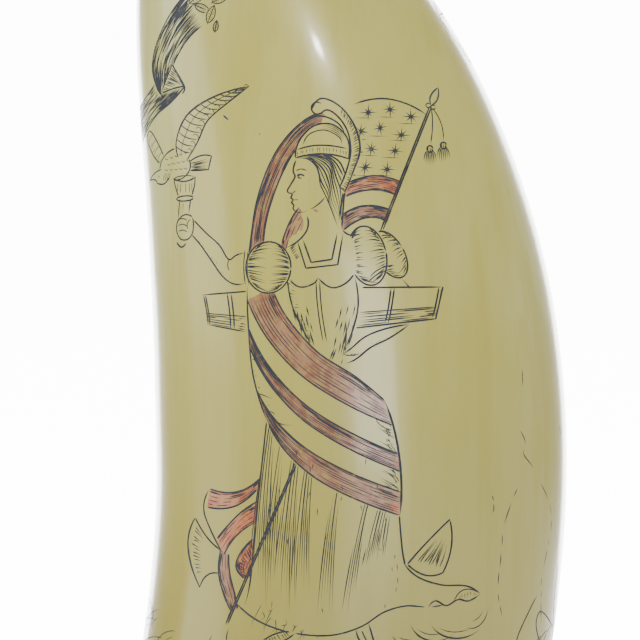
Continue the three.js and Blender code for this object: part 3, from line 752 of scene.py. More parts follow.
def loose_end(p):
    """The flag's loose end, blown out behind the skirt, over an axe head."""
    blade = joined(curve((-25.8, 20.8), (-27.0, 16.0), (-25.0, 9.4)),
                   curve((-25.0, 9.4), (-23.8, 11.4), (-21.8, 11.8)),
                   straight((-21.8, 11.8), (-21.6, 15.6)),
                   curve((-21.6, 15.6), (-23.8, 17.6), (-25.8, 20.8)))
    p.form(blade)
    p.cut(stretch(blade, 0.0, 0.36), BOLD)
    p.hatch(stretch(blade, 0.02, 0.34), straight((-23.4, 17.0), (-23.6, 11.8)), 12, 0.15, 0.65, FINE)
    for side in (0, 0.9):
        p.cut(curve((-22.0 + side, 12.0), (-20.4 + side, 8.0), (-19.2 + side, 5.6)), FINE)
    top = curve((-14.9, 27.6), (-17.6, 25.6), (-20.4, 25.0), (-23.4, 25.6))
    outlines = [(top, curve((-15.6, 25.6), (-18.4, 23.2), (-21.0, 22.4), (-23.8, 22.6))),
                (curve((-15.2, 23.8), (-18.0, 22.0), (-20.4, 19.6), (-22.2, 17.4)),
                 curve((-15.4, 20.4), (-17.8, 19.0), (-19.6, 17.2), (-21.0, 14.8)))]
    edge = curve((-23.4, 25.6), (-24.4, 22.4), (-23.2, 18.8), (-21.0, 14.8))
    p.cover(joined(top, edge, curve((-21.0, 14.8), (-20.4, 8.0), (-18.8, 5.4)),
                   straight((-18.8, 5.4), (-15.6, 12.0), (-14.9, 27.6))))
    p.cut(edge)
    p.cut(top)
    for (upper, lower), tone in zip(outlines, (RED, RED)):
        stripe(p, upper, lower, tone, 4)
    hanging = (curve((-21.6, 15.2), (-21.9, 11.8), (-21.0, 8.2), (-19.8, 5.6)),
               curve((-20.2, 15.0), (-20.0, 11.6), (-19.2, 8.4), (-18.7, 6.0)))
    stripe(p, hanging[0], hanging[1], RUST, 4)
    fold = (curve((-15.5, 18.0), (-18.0, 15.6), (-19.0, 13.0), (-17.6, 11.0)),
            curve((-15.6, 14.6), (-16.4, 13.2), (-16.8, 12.2), (-16.6, 11.2)))
    stripe(p, fold[0], fold[1], RED, 6)
    p.hatch(fold[0], fold[1], 14, 0.1, 0.9, FINE)
    p.cut(curve((-16.6, 11.2), (-16.9, 9.0), (-17.4, 6.4)), BOLD)


def feet(p):
    near = joined(curve((-10.0, 2.3), (-12.0, 2.2), (-14.6, 0.9)),
                  curve((-14.6, 0.9), (-12.8, 0.5), (-11.0, 1.0), (-9.4, 2.1)))
    p.form(near)
    p.hatch(stretch(near, 0.05, 0.45), stretch(near, 0.95, 0.55), 8, 0.0, 0.95, FINE)
    far = joined(curve((0.6, 3.0), (1.2, 1.0), (2.6, -0.2)),
                 curve((2.6, -0.2), (3.6, 0.0), (3.2, 2.0), (2.6, 3.9)))
    p.cut(far)
    p.cut(curve((1.6, 2.6), (2.2, 1.2), (2.8, 0.5)), FINE)


def ground(p):
    """Rounded stones under the feet."""
    stones = ((17.2, 4.8, 4.6, 3.6, 200, 330), (19.6, 7.0, 2.8, 4.2, 250, 350),
              (13.6, 4.6, 4.2, 3.8, 195, 320), (9.6, 3.6, 3.6, 3.6, 210, 300),
              (14.6, 0.6, 4.6, 4.0, 185, 300), (8.4, 0.6, 3.2, 3.4, 170, 250),
              (5.6, 2.4, 2.6, 2.6, 230, 310), (20.8, 2.0, 3.4, 4.6, 215, 320),
              (-17.6, 1.0, 3.0, 3.4, 150, 200), (-20.6, -0.6, 3.0, 3.6, 140, 205))
    for x, z, width, height, start, end in stones:
        p.cut(oval(x, z, width, height, 0, start, end), LINE if width > 3.5 else FINE, (0.25, 0.35))
        shade = oval(x - 0.3, z + 0.5, width * 0.9, height * 0.85, 0, start + 25, end - 20)
        p.cut(shade, HAIR, (0.3, 0.3))


def draw_front():
    p = Picture(5, -1)
    ribbon(p)
    side_spray(p)
    corners(p)
    staff(p, (12.9, 88.4), (-20.6, 3.4))
    flag(p)
    billow(p)
    cask(p)
    loose_end(p)
    skirt(p)
    # the staff shows again below the sash, in front of the skirt
    for side in (-0.16, 0.16):
        p.cut(straight((-20.6 + side, 3.4), (-7.6 + side, 33.6)), LINE, (0.02, 0.02))
    feet(p)
    bodice(p)
    far_arm(p)
    shoulders(p)
    head(p)
    far_hand(p)
    sash(p)
    near_arm(p)
    ground(p)
    age(p)
    return p


# ---- The ribbon over the front, and the marks of age ----

def ribbon(p):
    """A dark folded ribbon that comes down from a leafy knot at the left of the crown."""
    outer = curve((-26.9, 107.6), (-30.2, 103.4), (-32.4, 98.6), (-33.0, 94.8), (-32.2, 91.6),
                  (-31.4, 90.4))
    inner = curve((-24.6, 101.8), (-27.0, 99.6), (-28.8, 96.8), (-29.9, 94.2), (-30.4, 92.2), (-31.4, 90.4))
    tail_out = curve((-32.4, 92.6), (-33.6, 90.8), (-35.6, 88.2), (-37.6, 85.2))
    tail_in = curve((-27.6, 91.8), (-29.6, 89.4), (-32.4, 87.0), (-34.6, 83.4), (-35.8, 80.4))
    notch = straight((-37.6, 85.2), (-35.7, 85.0), (-36.2, 80.0))
    fold = joined(curve((-31.6, 90.6), (-30.4, 93.6), (-29.6, 95.4)),
                  curve((-29.6, 95.4), (-28.2, 92.6), (-27.6, 91.8)),
                  curve((-27.6, 91.8), (-29.6, 91.4), (-31.6, 90.6)))
    p.form(joined(tail_out, notch, tail_in[::-1]))
    p.grain(tail_out, tail_in, 22, FINE, 0.4, 0.05, 0.02, 0.98)
    p.form(joined(outer, inner[::-1]))
    p.grain(outer, inner, 24, FINE, 0.45, 0.05, 0.02, 0.98)
    p.grain(outer, inner, 8, LINE, 0.25, 0.3, 0.0, 0.4)
    p.form(fold)
    p.hatch(stretch(fold, 0.0, 0.4), stretch(fold, 0.98, 0.45), 15, 0.0, 0.95, FINE)
    p.cut(curve((-29.4, 94.9), (-28.2, 92.8), (-27.6, 91.4), (-28.2, 90.4)), BOLD)
    leaves = ((-25.4, 106.6, 1.9, 40), (-24.6, 104.6, 1.5, -25), (-23.2, 103.6, 1.6, 70),
              (-21.6, 106.2, 1.6, 25),
              (-19.2, 106.9, 1.5, -30), (-22.4, 101.6, 1.0, 80), (-17.4, 107.4, 1.2, 15))
    for x, z, size, tilt in leaves:
        leaf(p, x, z, size, tilt, 0.95)


def leaf(p, x, z, size, tilt, dark=0.5, blunt=0.42):
    """A small leaf with a midrib, its far half hatched."""
    a = math.radians(tilt)
    ahead, aside = np.array([math.cos(a), math.sin(a)]), np.array([-math.sin(a), math.cos(a)])
    foot, tip = np.array([x, z]) - ahead * size, np.array([x, z]) + ahead * size
    sides = [curve(foot, np.array([x, z]) - ahead * size * 0.1 + aside * size * blunt * s,
                   tip) for s in (1, -1)]
    p.form(joined(sides[0], sides[1][::-1]), FINE)
    rib = straight(foot - ahead * size * 0.2, tip)
    p.cut(rib, FINE)
    p.hatch(stretch(rib, 0.15, 0.95), stretch(sides[1], 0.05, 0.95), 7, 0.0, 0.75 + dark / 4, HAIR, 0.05)
    if dark > 0.7:
        p.hatch(stretch(rib, 0.15, 0.95), stretch(sides[0], 0.05, 0.95), 7, 0.0, 0.9, HAIR, 0.05)


def side_spray(p):
    """The end of a ribbon at the crown's right, seen almost edge on from the front."""
    inner = curve((13.6, 106.2), (14.6, 103.4), (17.0, 99.8), (19.4, 96.6))
    outer = curve((15.4, 106.6), (17.0, 103.2), (19.0, 99.6), (20.8, 96.2))
    p.form(joined(inner, outer[::-1]))
    p.grain(inner, outer, 4, FINE, 0.3, 0.2, 0.1, 0.9)
    p.cut(curve((14.4, 103.8), (16.2, 104.4), (17.2, 103.4)))


def corners(p):
    """Scrolled leaves that close the picture below, at both sides."""
    for line in (((34.5, 13.4), (33.7, 8.0), (33.6, 3.0), (34.0, -3.0)),
                 ((30.6, 8.0), (29.0, 5.0), (27.2, 1.0), (26.8, -2.0)),
                 ((33.6, 2.0), (31.2, 5.2), (30.4, 3.0), (31.6, -1.0))):
        p.cut(curve(*line))
    for i in range(7):
        p.cut(curve((27.6 + i, -3.0 + 0.7 * i), (28.3 + i, -1.6 + 0.8 * i), (29.4 + i, -0.6 + 0.9 * i)),
              FINE)
    for x, z, size, start, end in ((-31.0, 1.6, 3.6, 100, 215), (-33.6, 0.6, 3.0, 60, 170),
                                   (-29.4, -1.2, 3.0, 80, 200), (-35.0, 4.8, 2.2, -40, 80),
                                   (-32.2, -2.8, 3.4, 70, 180)):
        p.cut(oval(x, z, size, size * 1.1, 0, start, end), FINE)
        p.cut(oval(x + 0.3, z - 0.4, size * 0.8, size * 0.9, 0, start + 15, end - 10), HAIR)


def age(p):
    """Hairline cracks along the root with dirt in them, and stray pits and scratches."""
    cracks = (((27.6, 35.2), (28.6, 33.0), (28.2, 31.4), (29.6, 29.4), (31.0, 26.6), (32.4, 23.6),
               (33.0, 20.6), (32.2, 15.0), (31.4, 10.8), (31.2, 3.2)),
              ((27.2, 25.8), (25.6, 22.0), (24.6, 18.6), (24.4, 14.2), (24.0, 9.8), (24.6, 4.6)),
              ((22.8, 24.6), (23.2, 22.6), (22.9, 21.6)),
              ((34.2, 36.0), (34.6, 33.2)),
              ((27.9, 45.4), (28.0, 42.0)))
    for points in cracks:
        line = curve(*points)
        at = 0.0
        while at < 0.97:
            length = (0.5 + p.random.rand() * 1.6) * 2.2 / max(len(line) * STEP, 4)
            piece = stretch(line, at, min(1, at + length)).copy()
            piece[:, 0] += p.jitter(0.12)
            p.cut(piece, FINE if p.random.rand() < 0.6 else HAIR, (0.3, 0.4))
            at += length * (1.15 + 0.5 * p.random.rand())
    pits = ((-15.1, 83.8, 0.24), (6.9, 95.0, 0.18), (9.8, 92.0, 0.16), (1.6, 105.8, 0.14),
            (-9.0, 40.2, 0.16), (-4.4, 20.6, 0.15), (-3.6, 28.6, 0.12), (-1.2, 30.2, 0.12),
            (-7.0, 29.4, 0.12), (18.0, 84.0, 0.1), (-6.0, 57.0, 0.1))
    for x, z, size in pits:
        p.cut(oval(x, z, size * 0.5, size * 0.4), size, (0.01, 0.01))
    p.cut(straight((-21.2, 86.9), (-20.2, 86.0)), LINE, (0.2, 0.4))
    for _ in range(26):
        x, z = p.random.uniform(-14, 8), p.random.uniform(6, 34)
        p.cut(curve((x, z), (x + p.jitter(0.2), z - 0.4), (x + p.jitter(0.3), z - 0.5 - p.random.rand())),
              HAIR, (0.3, 0.5))


# ---- The back's picture: a fouled anchor between two laurel sprays ----

def anchor(p):
    flukes = [loop((s * 9.0, 50.6), (s * 13.4, 54.2), (s * 14.6, 48.2), (s * 12.2, 48.6)) for s in (-1, 1)]
    arms = joined(curve((-13.0, 50.4), (-9.6, 44.8), (0, 41.6), (9.6, 44.8), (13.0, 50.4)),
                  curve((12.2, 51.0), (8.8, 47.0), (0, 44.0), (-8.8, 47.0), (-12.2, 51.0)))
    shank = joined(straight((-0.9, 74.0), (-1.1, 43.2)), straight((1.1, 43.2), (0.9, 74.0)))
    stock = loop((-9.2, 71.4), (-4.6, 71.2), (0, 71.4), (4.6, 71.2), (9.2, 71.4), (9.2, 69.8), (4.6, 69.2),
                 (0, 69.0), (-4.6, 69.2), (-9.2, 69.8))
    for outline in (*flukes, arms, shank, stock):
        p.form(outline)
    p.hatch(straight((1.0, 73.0), (1.1, 45.0)), straight((-0.2, 73.0), (-0.2, 45.0)), 60, 0.0, 0.55, HAIR,
            0.1, 0.0, 1.0, (0.05, 0.4))
    p.hatch(curve((-12.0, 49.2), (-8.8, 45.0), (0, 42.0), (8.8, 45.0), (12.0, 49.2)),
            curve((-11.8, 50.6), (-8.6, 46.6), (0, 43.6), (8.6, 46.6), (11.8, 50.6)),
            46, 0.0, 0.5, HAIR)
    p.hatch(straight((-9.0, 69.8), (9.0, 69.8)), straight((-9.0, 71.2), (9.0, 71.2)), 44, 0.0, 0.45, HAIR)
    for s in (-1, 1):
        p.hatch(straight((s * 9.6, 50.4), (s * 12.4, 48.8)), straight((s * 13.0, 53.4), (s * 14.2, 48.8)),
                9, 0.05, 0.8, HAIR)
    eye = oval(0, 76.4, 2.5, 2.5)
    p.form(eye)
    p.cut(oval(0, 76.4, 1.7, 1.7))
    cable(p, curve((0.4, 78.0), (5.6, 76.6), (6.4, 72.4), (1.8, 67.0), (-4.6, 62.2), (-4.8, 57.4),
                   (0.8, 53.4), (6.0, 49.6), (5.0, 42.4), (0.6, 37.6), (-6.6, 36.6)))


def cable(p, line, width=1.5):
    """A laid rope along a line, its strands as slanting cuts."""
    run = np.gradient(line, axis=0)
    run /= np.hypot(*run.T)[:, None]
    aside = np.column_stack([-run[:, 1], run[:, 0]]) * width / 2
    a, b = line + aside, line - aside
    p.form(joined(a, b[::-1]))
    count = int(len(line) * STEP / 0.85)
    for i in range(1, count - 1):
        share = i / count
        p.cut(curve(point_on(a, share), point_on(line, share + 0.2 / count),
                    point_on(b, min(1, share + 0.9 / count))), FINE, (0.1, 0.1))


def laurels(p):
    for side in (-1, 1):
        stem = curve((side * 0.6, 27.4), (side * 9.6, 29.4), (side * 16.6, 36.0), (side * 20.2, 46.0),
                     (side * 20.4, 57.0), (side * 18.6, 63.0))
        p.cut(stem)
        for i in range(15):
            share = 0.1 + 0.88 * i / 14
            x, z = point_on(stem, share)
            nx, nz = point_on(stem, min(1, share + 0.02))
            heading = math.degrees(math.atan2(nz - z, nx - x))
            for turn in (42, -42):
                a = math.radians(heading + turn)
                leaf(p, x + 2.5 * math.cos(a), z + 2.5 * math.sin(a), 2.1, heading + turn, 0.5, 0.34)
        for i in range(4):
            x, z = point_on(stem, 0.2 + 0.2 * i)
            p.cut(oval(x - side * 0.7, z + 0.9, 0.4, 0.4), FINE, (0.01, 0.01))
    bow = (0.0, 27.4)
    for side in (-1, 1):
        loop_of_bow = loop(bow, (side * 3.2, 30.0), (side * 5.2, 28.2), (side * 3.0, 26.2))
        p.form(loop_of_bow)
        p.hatch(curve(bow, (side * 1.8, 27.4)), curve((side * 4.4, 29.2), (side * 4.6, 27.2)), 5, 0.05,
                0.6, HAIR)
        end = joined(curve((side * 0.5, 26.8), (side * 2.4, 24.6), (side * 3.4, 21.4)),
                     straight((side * 3.4, 21.4), (side * 4.4, 22.6), (side * 5.2, 21.8)),
                     curve((side * 5.2, 21.8), (side * 3.8, 25.0), (side * 1.6, 27.0)))
        p.form(end)
    p.form(oval(*bow, 1.0, 1.1))


def draw_back():
    p = Picture(11, 1)
    anchor(p)
    laurels(p)
    return p


# ---- Engraving the skin ----

def thinned(line, held, tolerance=0.012, longest=2.2):
    """The indices of the samples that a line needs to keep its shape and to follow the skin's curve."""
    keep = {0, len(line) - 1} | set(held)

    def split(a, b):
        if b - a < 2:
            return
        run = line[b] - line[a]
        length = math.hypot(*run)
        offsets = line[a + 1:b] - line[a]
        off = np.abs(offsets[:, 0] * run[1] - offsets[:, 1] * run[0]) / max(length, 1e-6)
        if length < 1e-6:
            off = np.hypot(*offsets.T)
        bent_away = off.max() > tolerance
        if bent_away or length > longest:
            middle = a + 1 + int(off.argmax()) if bent_away else (a + b) // 2
            keep.add(middle)
            split(a, middle)
            split(middle, b)

    ends = sorted(keep)
    for a, b in zip(ends, ends[1:]):
        split(a, b)
    return sorted(keep)


class Chart:
    """The unrolled skin's points, constraints and inked triangles, before it is triangulated."""

    def __init__(self):
        self.points, self.depths, self.edges, self.inked = [], [], [], []

    def add(self, places, depths=None):
        first = len(self.points)
        self.points.extend(map(tuple, places))
        self.depths.extend([0.0] * len(places) if depths is None else depths)
        return first

    def add_line(self, places):
        first = self.add(places)
        self.edges.extend((i, i + 1) for i in range(first, first + len(places) - 1))

    def add_inked(self, *corners):
        a, b, c = (self.points[i] for i in corners)
        area = (b[0] - a[0]) * (c[1] - a[1]) - (b[1] - a[1]) * (c[0] - a[0])
        if abs(area) > 1e-7:
            self.inked.append(corners if area > 0 else (corners[0], corners[2], corners[1]))

    def engrave(self, line, width, taper, facing, wear):
        """A V groove along a picture's line, pointed at both of its ends."""
        last = len(line) - 1
        held = [round(taper[0] * last), round((1 - taper[1]) * last)]
        kept = thinned(line, held)
        share = np.array(kept) / last
        middle = face_to_chart(line[kept], facing)
        swell = np.minimum(1, np.minimum(share / max(taper[0], 1e-3), (1 - share) / max(taper[1], 1e-3)))
        swell *= 1 + 0.18 * (wear.rand(len(kept)) - 0.5)
        self.groove(middle, width / 2 * swell, GROOVE_DEPTH * min(1, width / LINE) * swell)

    def groove(self, middle, half_widths, depths, pointed=True):
        size = girth(np.maximum(middle[:, 1], 0))
        run = np.gradient(middle, axis=0) * np.column_stack([size, np.ones_like(size)])
        run /= np.maximum(np.hypot(*run.T), 1e-9)[:, None]
        aside = np.column_stack([-run[:, 1] / size, run[:, 0]]) * half_widths[:, None]
        if not pointed:      # a border's line, which meets itself at the seam
            aside = np.column_stack([np.zeros_like(size), half_widths])
        count = len(middle)
        centre = self.add(middle, list(depths))
        self.edges.extend((i, i + 1) for i in range(centre, centre + count - 1))
        for sign in (1, -1):
            if pointed:
                first = self.add((middle + sign * aside)[1:-1])
                edge = [centre, *range(first, first + count - 2), centre + count - 1]
            else:
                first = self.add(middle + sign * aside)
                edge = list(range(first, first + count))
            for i in range(count - 1):
                self.add_inked(centre + i, centre + i + 1, edge[i + 1])
                self.add_inked(centre + i, edge[i + 1], edge[i])


def engraved_chart(pictures, wear):
    chart_ = Chart()
    for p in pictures:
        for line, width, taper in p.cuts:
            if len(line) > 2:
                chart_.engrave(line, width, taper, p.facing, wear)
        for outline, _, _ in p.stains:
            chart_.add_line(face_to_chart(outline, p.facing)[thinned(outline, [])])
    for height in BORDER_HEIGHTS:
        turns = np.linspace(SEAM, SEAM + 2 * math.pi, BORDER_POINTS)
        middle = chart(turns, along_at_level(turns, height))
        half_widths = np.full(BORDER_POINTS, BORDER_WIDTH / 2)
        chart_.groove(middle, half_widths, np.full(BORDER_POINTS, BORDER_DEPTH), pointed=False)
    return chart_


def add_plain_points(chart_):
    """The points between the engraved lines, fewer to a row where the tooth narrows, and straight edges."""
    lined = [np.zeros((0, 2))]
    rows = np.arange(-BASE_HEIGHT + CELL, CAP - 0.6, CELL)
    busy = busy_cells(chart_.points)
    for i, v in enumerate(rows):
        count = max(int(LENGTH_ROUND * girth(max(v, 0)) / CELL), 24)
        u = (np.arange(count) + 0.5 + 0.5 * (i % 2)) / count * LENGTH_ROUND
        u = u[(u > 0.6 * CELL) & (u < LENGTH_ROUND - 0.6 * CELL)]
        lined.append(np.column_stack([u, np.full(len(u), v)]))
    grid = np.vstack(lined)
    grid = grid[[tuple(cell) not in busy for cell in np.floor(grid / 0.5).astype(int)]]
    chart_.add(grid)
    for u in (0.0, LENGTH_ROUND):
        chart_.add_line(np.column_stack([np.full(len(rows) + 2, u),
                                         np.concatenate([[-BASE_HEIGHT], rows, [CAP]])]))
    columns = np.linspace(0, LENGTH_ROUND, COLUMNS + 1)
    for v in (-BASE_HEIGHT, CAP):
        chart_.add_line(np.column_stack([columns, np.full(COLUMNS + 1, v)]))


def busy_cells(points):
    """The half-millimetre cells that already have a point in them."""
    return {tuple(cell) for cell in np.floor(np.array(points) / 0.5).astype(int)}


def truly_inked(chart_, middles, from_faces):
    """Which faces lie in one of the inked triangles that they are said to come from."""
    owners = np.array([i for i, ids in enumerate(from_faces) for _ in ids])
    sources = np.array([source for ids in from_faces for source in ids])
    a, b, c = np.array(chart_.points)[np.array(chart_.inked)[sources]].transpose(1, 0, 2)
    middle = middles[owners]

    def left_of(p, q):
        side, away = q - p, middle - p
        return side[:, 0] * away[:, 1] - side[:, 1] * away[:, 0] > -1e-7

    inked = np.zeros(len(middles), bool)
    inked[owners[left_of(a, b) & left_of(b, c) & left_of(c, a)]] = True
    return inked


def triangulated(chart_):
    """The chart's triangles: their places, depths below the skin, corners, and whether each is inked."""
    points = [Vector(map(float, place)) for place in chart_.points]
    places, _, faces, from_points, _, from_faces = delaunay_2d_cdt(
        points, chart_.edges, chart_.inked, 0, 1e-5, True)
    places, faces = np.array([tuple(v) for v in places]), np.array(faces)
    inked = truly_inked(chart_, places[faces].mean(axis=1), from_faces)
    depths = np.array([max((chart_.depths[i] for i in ids), default=0.0) for ids in from_points])
    within = np.ones(len(places), bool)
    within[faces[~inked].ravel()] = False
    crossing = within & (depths == 0)
    depths[crossing] = 0.6 * GROOVE_DEPTH
    return places, depths, faces, inked


# ---- The tooth's mesh ----

IVORY, INK, RED_IVORY, RUST_IVORY, ROOT = range(5)     # its material slots
STAIN_SLOTS = {RED: RED_IVORY, RUST: RUST_IVORY}


def skin_normals(turn, along):
    step = 1e-3
    across = skin(turn + step, along) - skin(turn - step, along)
    upwards = skin(turn, along + step * 20) - skin(turn, along - step * 20)
    outward = np.cross(upwards, across)
    return outward / np.linalg.norm(outward, axis=1)[:, None]


def stain_slots(pictures, middles):
    """The stain at each of the chart's places, or IVORY."""
    slots = np.full(len(middles), IVORY)
    for p in pictures:
        for outline, tone, covers in p.stains:
            shape = face_to_chart(outline, p.facing)
            hit = inside(middles, shape)
            for cover in covers:
                hit[hit] &= ~inside(middles[hit], face_to_chart(cover, p.facing))
            slots[hit] = STAIN_SLOTS[tone]
    return slots


class Surface:
    """Triangles and quads with a slot, a normal and a place in the bake's map at every corner."""

    def __init__(self):
        self.points = np.zeros((0, 3))
        self.faces, self.slots, self.normals, self.maps = [], [], [], []

    def add_points(self, points):
        first = len(self.points)
        self.points = np.vstack([self.points, points])
        return first

    def add_faces(self, faces, slots, normals, maps):
        self.faces.extend(faces)
        self.slots.extend(slots)
        self.normals.append(normals)
        self.maps.append(maps)

    def add_strip(self, upper, lower, slot, upper_normals, lower_normals, top, bottom):
        """A band of quads between two rings of point numbers."""
        count = len(upper)
        after = np.roll(np.arange(count), -1)
        faces = np.column_stack([upper, upper[after], lower[after], lower])
        normals = np.stack([upper_normals, upper_normals[after], lower_normals[after], lower_normals],
                           axis=1)
        left, right = np.arange(count) / count, np.arange(1, count + 1) / count
        corners = ((left, top), (right, top), (right, bottom), (left, bottom))
        maps = np.stack([np.column_stack([u, np.full(count, v)]) for u, v in corners], axis=1)
        self.add_faces(faces.tolist(), [slot] * count, normals.reshape(-1, 3), maps.reshape(-1, 2))

    def mesh(self, name, materials):
        mesh = bpy.data.meshes.new(name)
        mesh.from_pydata(((self.points + [SET_OVER, 0, 0]) * MM).tolist(), [], self.faces)
        for material in materials:
            mesh.materials.append(material)
        mesh.polygons.foreach_set("material_index", self.slots)
        mesh.polygons.foreach_set("use_smooth", [True] * len(self.faces))
        bake_map = mesh.uv_layers.new(name="OFBake")
        bake_map.data.foreach_set("uv", np.vstack(self.maps).ravel())
        mesh.normals_split_custom_set(np.vstack(self.normals).tolist())
        mesh.update()
        return mesh


def seam_welded(places):
    """For each of the chart's points the number it has once the seam's right side is its left side."""
    numbers = np.arange(len(places))
    left = {round(v, 3): i for i, (u, v) in enumerate(places) if u < 1e-4}
    for i in np.flatnonzero(places[:, 0] > LENGTH_ROUND - 1e-4):
        numbers[i] = left[round(places[i, 1], 3)]
    return numbers


def engraved_skin(surface, pictures):
    """The unrolled skin, engraved and set on the tooth. Returns its top and its bottom rings."""
    wear = np.random.RandomState(3)
    chart_ = engraved_chart(pictures, wear)
    add_plain_points(chart_)
    places, depths, faces, inked = triangulated(chart_)
    turn, along = unchart(places)
    outward = skin_normals(turn, along)
    points = skin(turn, along) - outward * depths[:, None]
    faces = faces[:, ::-1]     # the chart runs from right to left, seen from outside
    numbers = seam_welded(places)
    surface.add_points(points)
    slots = stain_slots(pictures, places[faces].mean(axis=1))
    slots[inked] = INK
    normals = outward[faces]
    corners = points[faces]
    flat = np.cross(corners[:, 1] - corners[:, 0], corners[:, 2] - corners[:, 0])
    flat /= np.maximum(np.linalg.norm(flat, axis=1), 1e-12)[:, None]
    normals[inked] = flat[inked][:, None, :]
    spread = [1 / LENGTH_ROUND, 0.84 / (CAP + BASE_HEIGHT)]
    maps = places[faces] * spread + [0, 0.155 + 0.84 * BASE_HEIGHT / (CAP + BASE_HEIGHT)]
    surface.add_faces(numbers[faces].tolist(), slots.tolist(), normals.reshape(-1, 3), maps.reshape(-1, 2))

    def ring_at(v):
        row = np.flatnonzero((np.abs(places[:, 1] - v) < 1e-4) & (places[:, 0] < LENGTH_ROUND - 1e-4))
        return row[np.argsort(places[row, 0])]

    return ring_at(CAP), ring_at(-BASE_HEIGHT)


def add_tip(surface, ring):
    turn = np.interp(np.arange(COLUMNS) / COLUMNS * LENGTH_ROUND, _round, _turns)
    heights = [CAP, 105.0, 105.9, 106.5, 106.85]
    lower, lower_normals = ring, skin_normals(turn, np.full(COLUMNS, CAP))
    for i, along in enumerate(heights[1:]):
        level = np.full(COLUMNS, along)
        upper = surface.add_points(skin(turn, level)) + np.arange(COLUMNS)
        upper_normals = skin_normals(turn, level)
        surface.add_strip(upper, lower, IVORY, upper_normals, lower_normals, 0.15 - 0.008 * i,
                          0.142 - 0.008 * i)
        lower, lower_normals = upper, upper_normals
    tip = surface.add_points(bent(0.0, TIP_LENGTH, 0.0)[None])
    axis = bent(0.0, TIP_LENGTH, 0.0) - bent(0.0, TIP_LENGTH - 1, 0.0)
    after = np.roll(np.arange(COLUMNS), -1)
    faces = np.column_stack([np.full(COLUMNS, tip), lower[after], lower])
    normals = np.stack([np.tile(axis, (COLUMNS, 1)), lower_normals[after], lower_normals], axis=1)
    share = np.arange(COLUMNS) / COLUMNS
    maps = np.stack([np.column_stack([share, np.full(COLUMNS, 0.11)]),
                     np.column_stack([share + 1 / COLUMNS, np.full(COLUMNS, 0.104)]),
                     np.column_stack([share, np.full(COLUMNS, 0.104)])], axis=1)
    surface.add_faces(faces.tolist(), [IVORY] * COLUMNS, normals.reshape(-1, 3), maps.reshape(-1, 2))


def add_rim_and_cavity(surface, ring):
    """The broken edges and flat face of the rim, and the rough cone of the pulp cavity."""
    turn = np.interp(np.arange(COLUMNS) / COLUMNS * LENGTH_ROUND, _round, _turns)
    side, front = oval_section(turn)
    right, left = (skin(np.array([a]), along_at_level(np.array([a]), 0.0))[0, 0] for a in (0.0, math.pi))
    middle, half_width = (right + left) / 2, (right - left) / 2
    half_depth = HALF_DEPTH * float(girth(-BASE_HEIGHT))

    def level_ring(inset, height, narrowing=1.0, lean=0.0):
        x = middle * (1 - lean) + (half_width - inset) * narrowing * side
        return np.column_stack([x, -(half_depth - inset) * narrowing * front, np.full(COLUMNS, height)])

    rings = [level_ring(RIM_EDGE, 0.0), level_ring(RIM_WALL - RIM_EDGE, 0.0)]
    rows = 18
    wear = np.random.RandomState(8)
    for row in range(rows):
        share = row / rows
        ridges = 1 + 0.012 * np.sin(9 * turn + 2 * share) * min(1, 3 * share) + 0.01 * wear.uniform(-1, 1)
        rings.append(level_ring(RIM_WALL, RIM_EDGE + (PULP_DEPTH - RIM_EDGE) * share,
                                (1 - share) ** 0.75 * ridges, share))
    upper = ring
    down = np.tile([0.0, 0.0, -1.0], (COLUMNS, 1))
    out = np.column_stack([side, -front, np.zeros(COLUMNS)])
    inward = -out + [0, 0, -0.45]
    faces_of = [(out + down, out + down), (down, down),
                (down - out, down - out)] + [(inward, inward)] * (rows - 1)
    for i, (points, (upper_normals, lower_normals)) in enumerate(zip(rings, faces_of)):
        lower = surface.add_points(points) + np.arange(COLUMNS)
        surface.add_strip(upper, lower, ROOT, upper_normals, lower_normals, 0.1 - 0.0045 * i,
                          0.0955 - 0.0045 * i)
        upper = lower
    end = surface.add_points([[0.0, 0.0, PULP_DEPTH]])
    after = np.roll(np.arange(COLUMNS), -1)
    faces = np.column_stack([upper, upper[after], np.full(COLUMNS, end)])
    normals = np.stack([inward, inward[after], down], axis=1)
    share = np.arange(COLUMNS) / COLUMNS
    maps = np.stack([np.column_stack([share, np.full(COLUMNS, 0.01)]),
                     np.column_stack([share + 1 / COLUMNS, np.full(COLUMNS, 0.01)]),
                     np.column_stack([share, np.full(COLUMNS, 0.004)])], axis=1)
    surface.add_faces(faces.tolist(), [ROOT] * COLUMNS, normals.reshape(-1, 3), maps.reshape(-1, 2))


def build_tooth(materials):
    surface = Surface()
    top, bottom = engraved_skin(surface, [draw_front(), draw_back()])
    add_tip(surface, top)
    add_rim_and_cavity(surface, bottom)
    tooth = bpy.data.objects.new("engraved_tooth", surface.mesh("engraved_tooth", materials))
    bpy.context.scene.collection.objects.link(tooth)
    return tooth


# ---- Materials ----

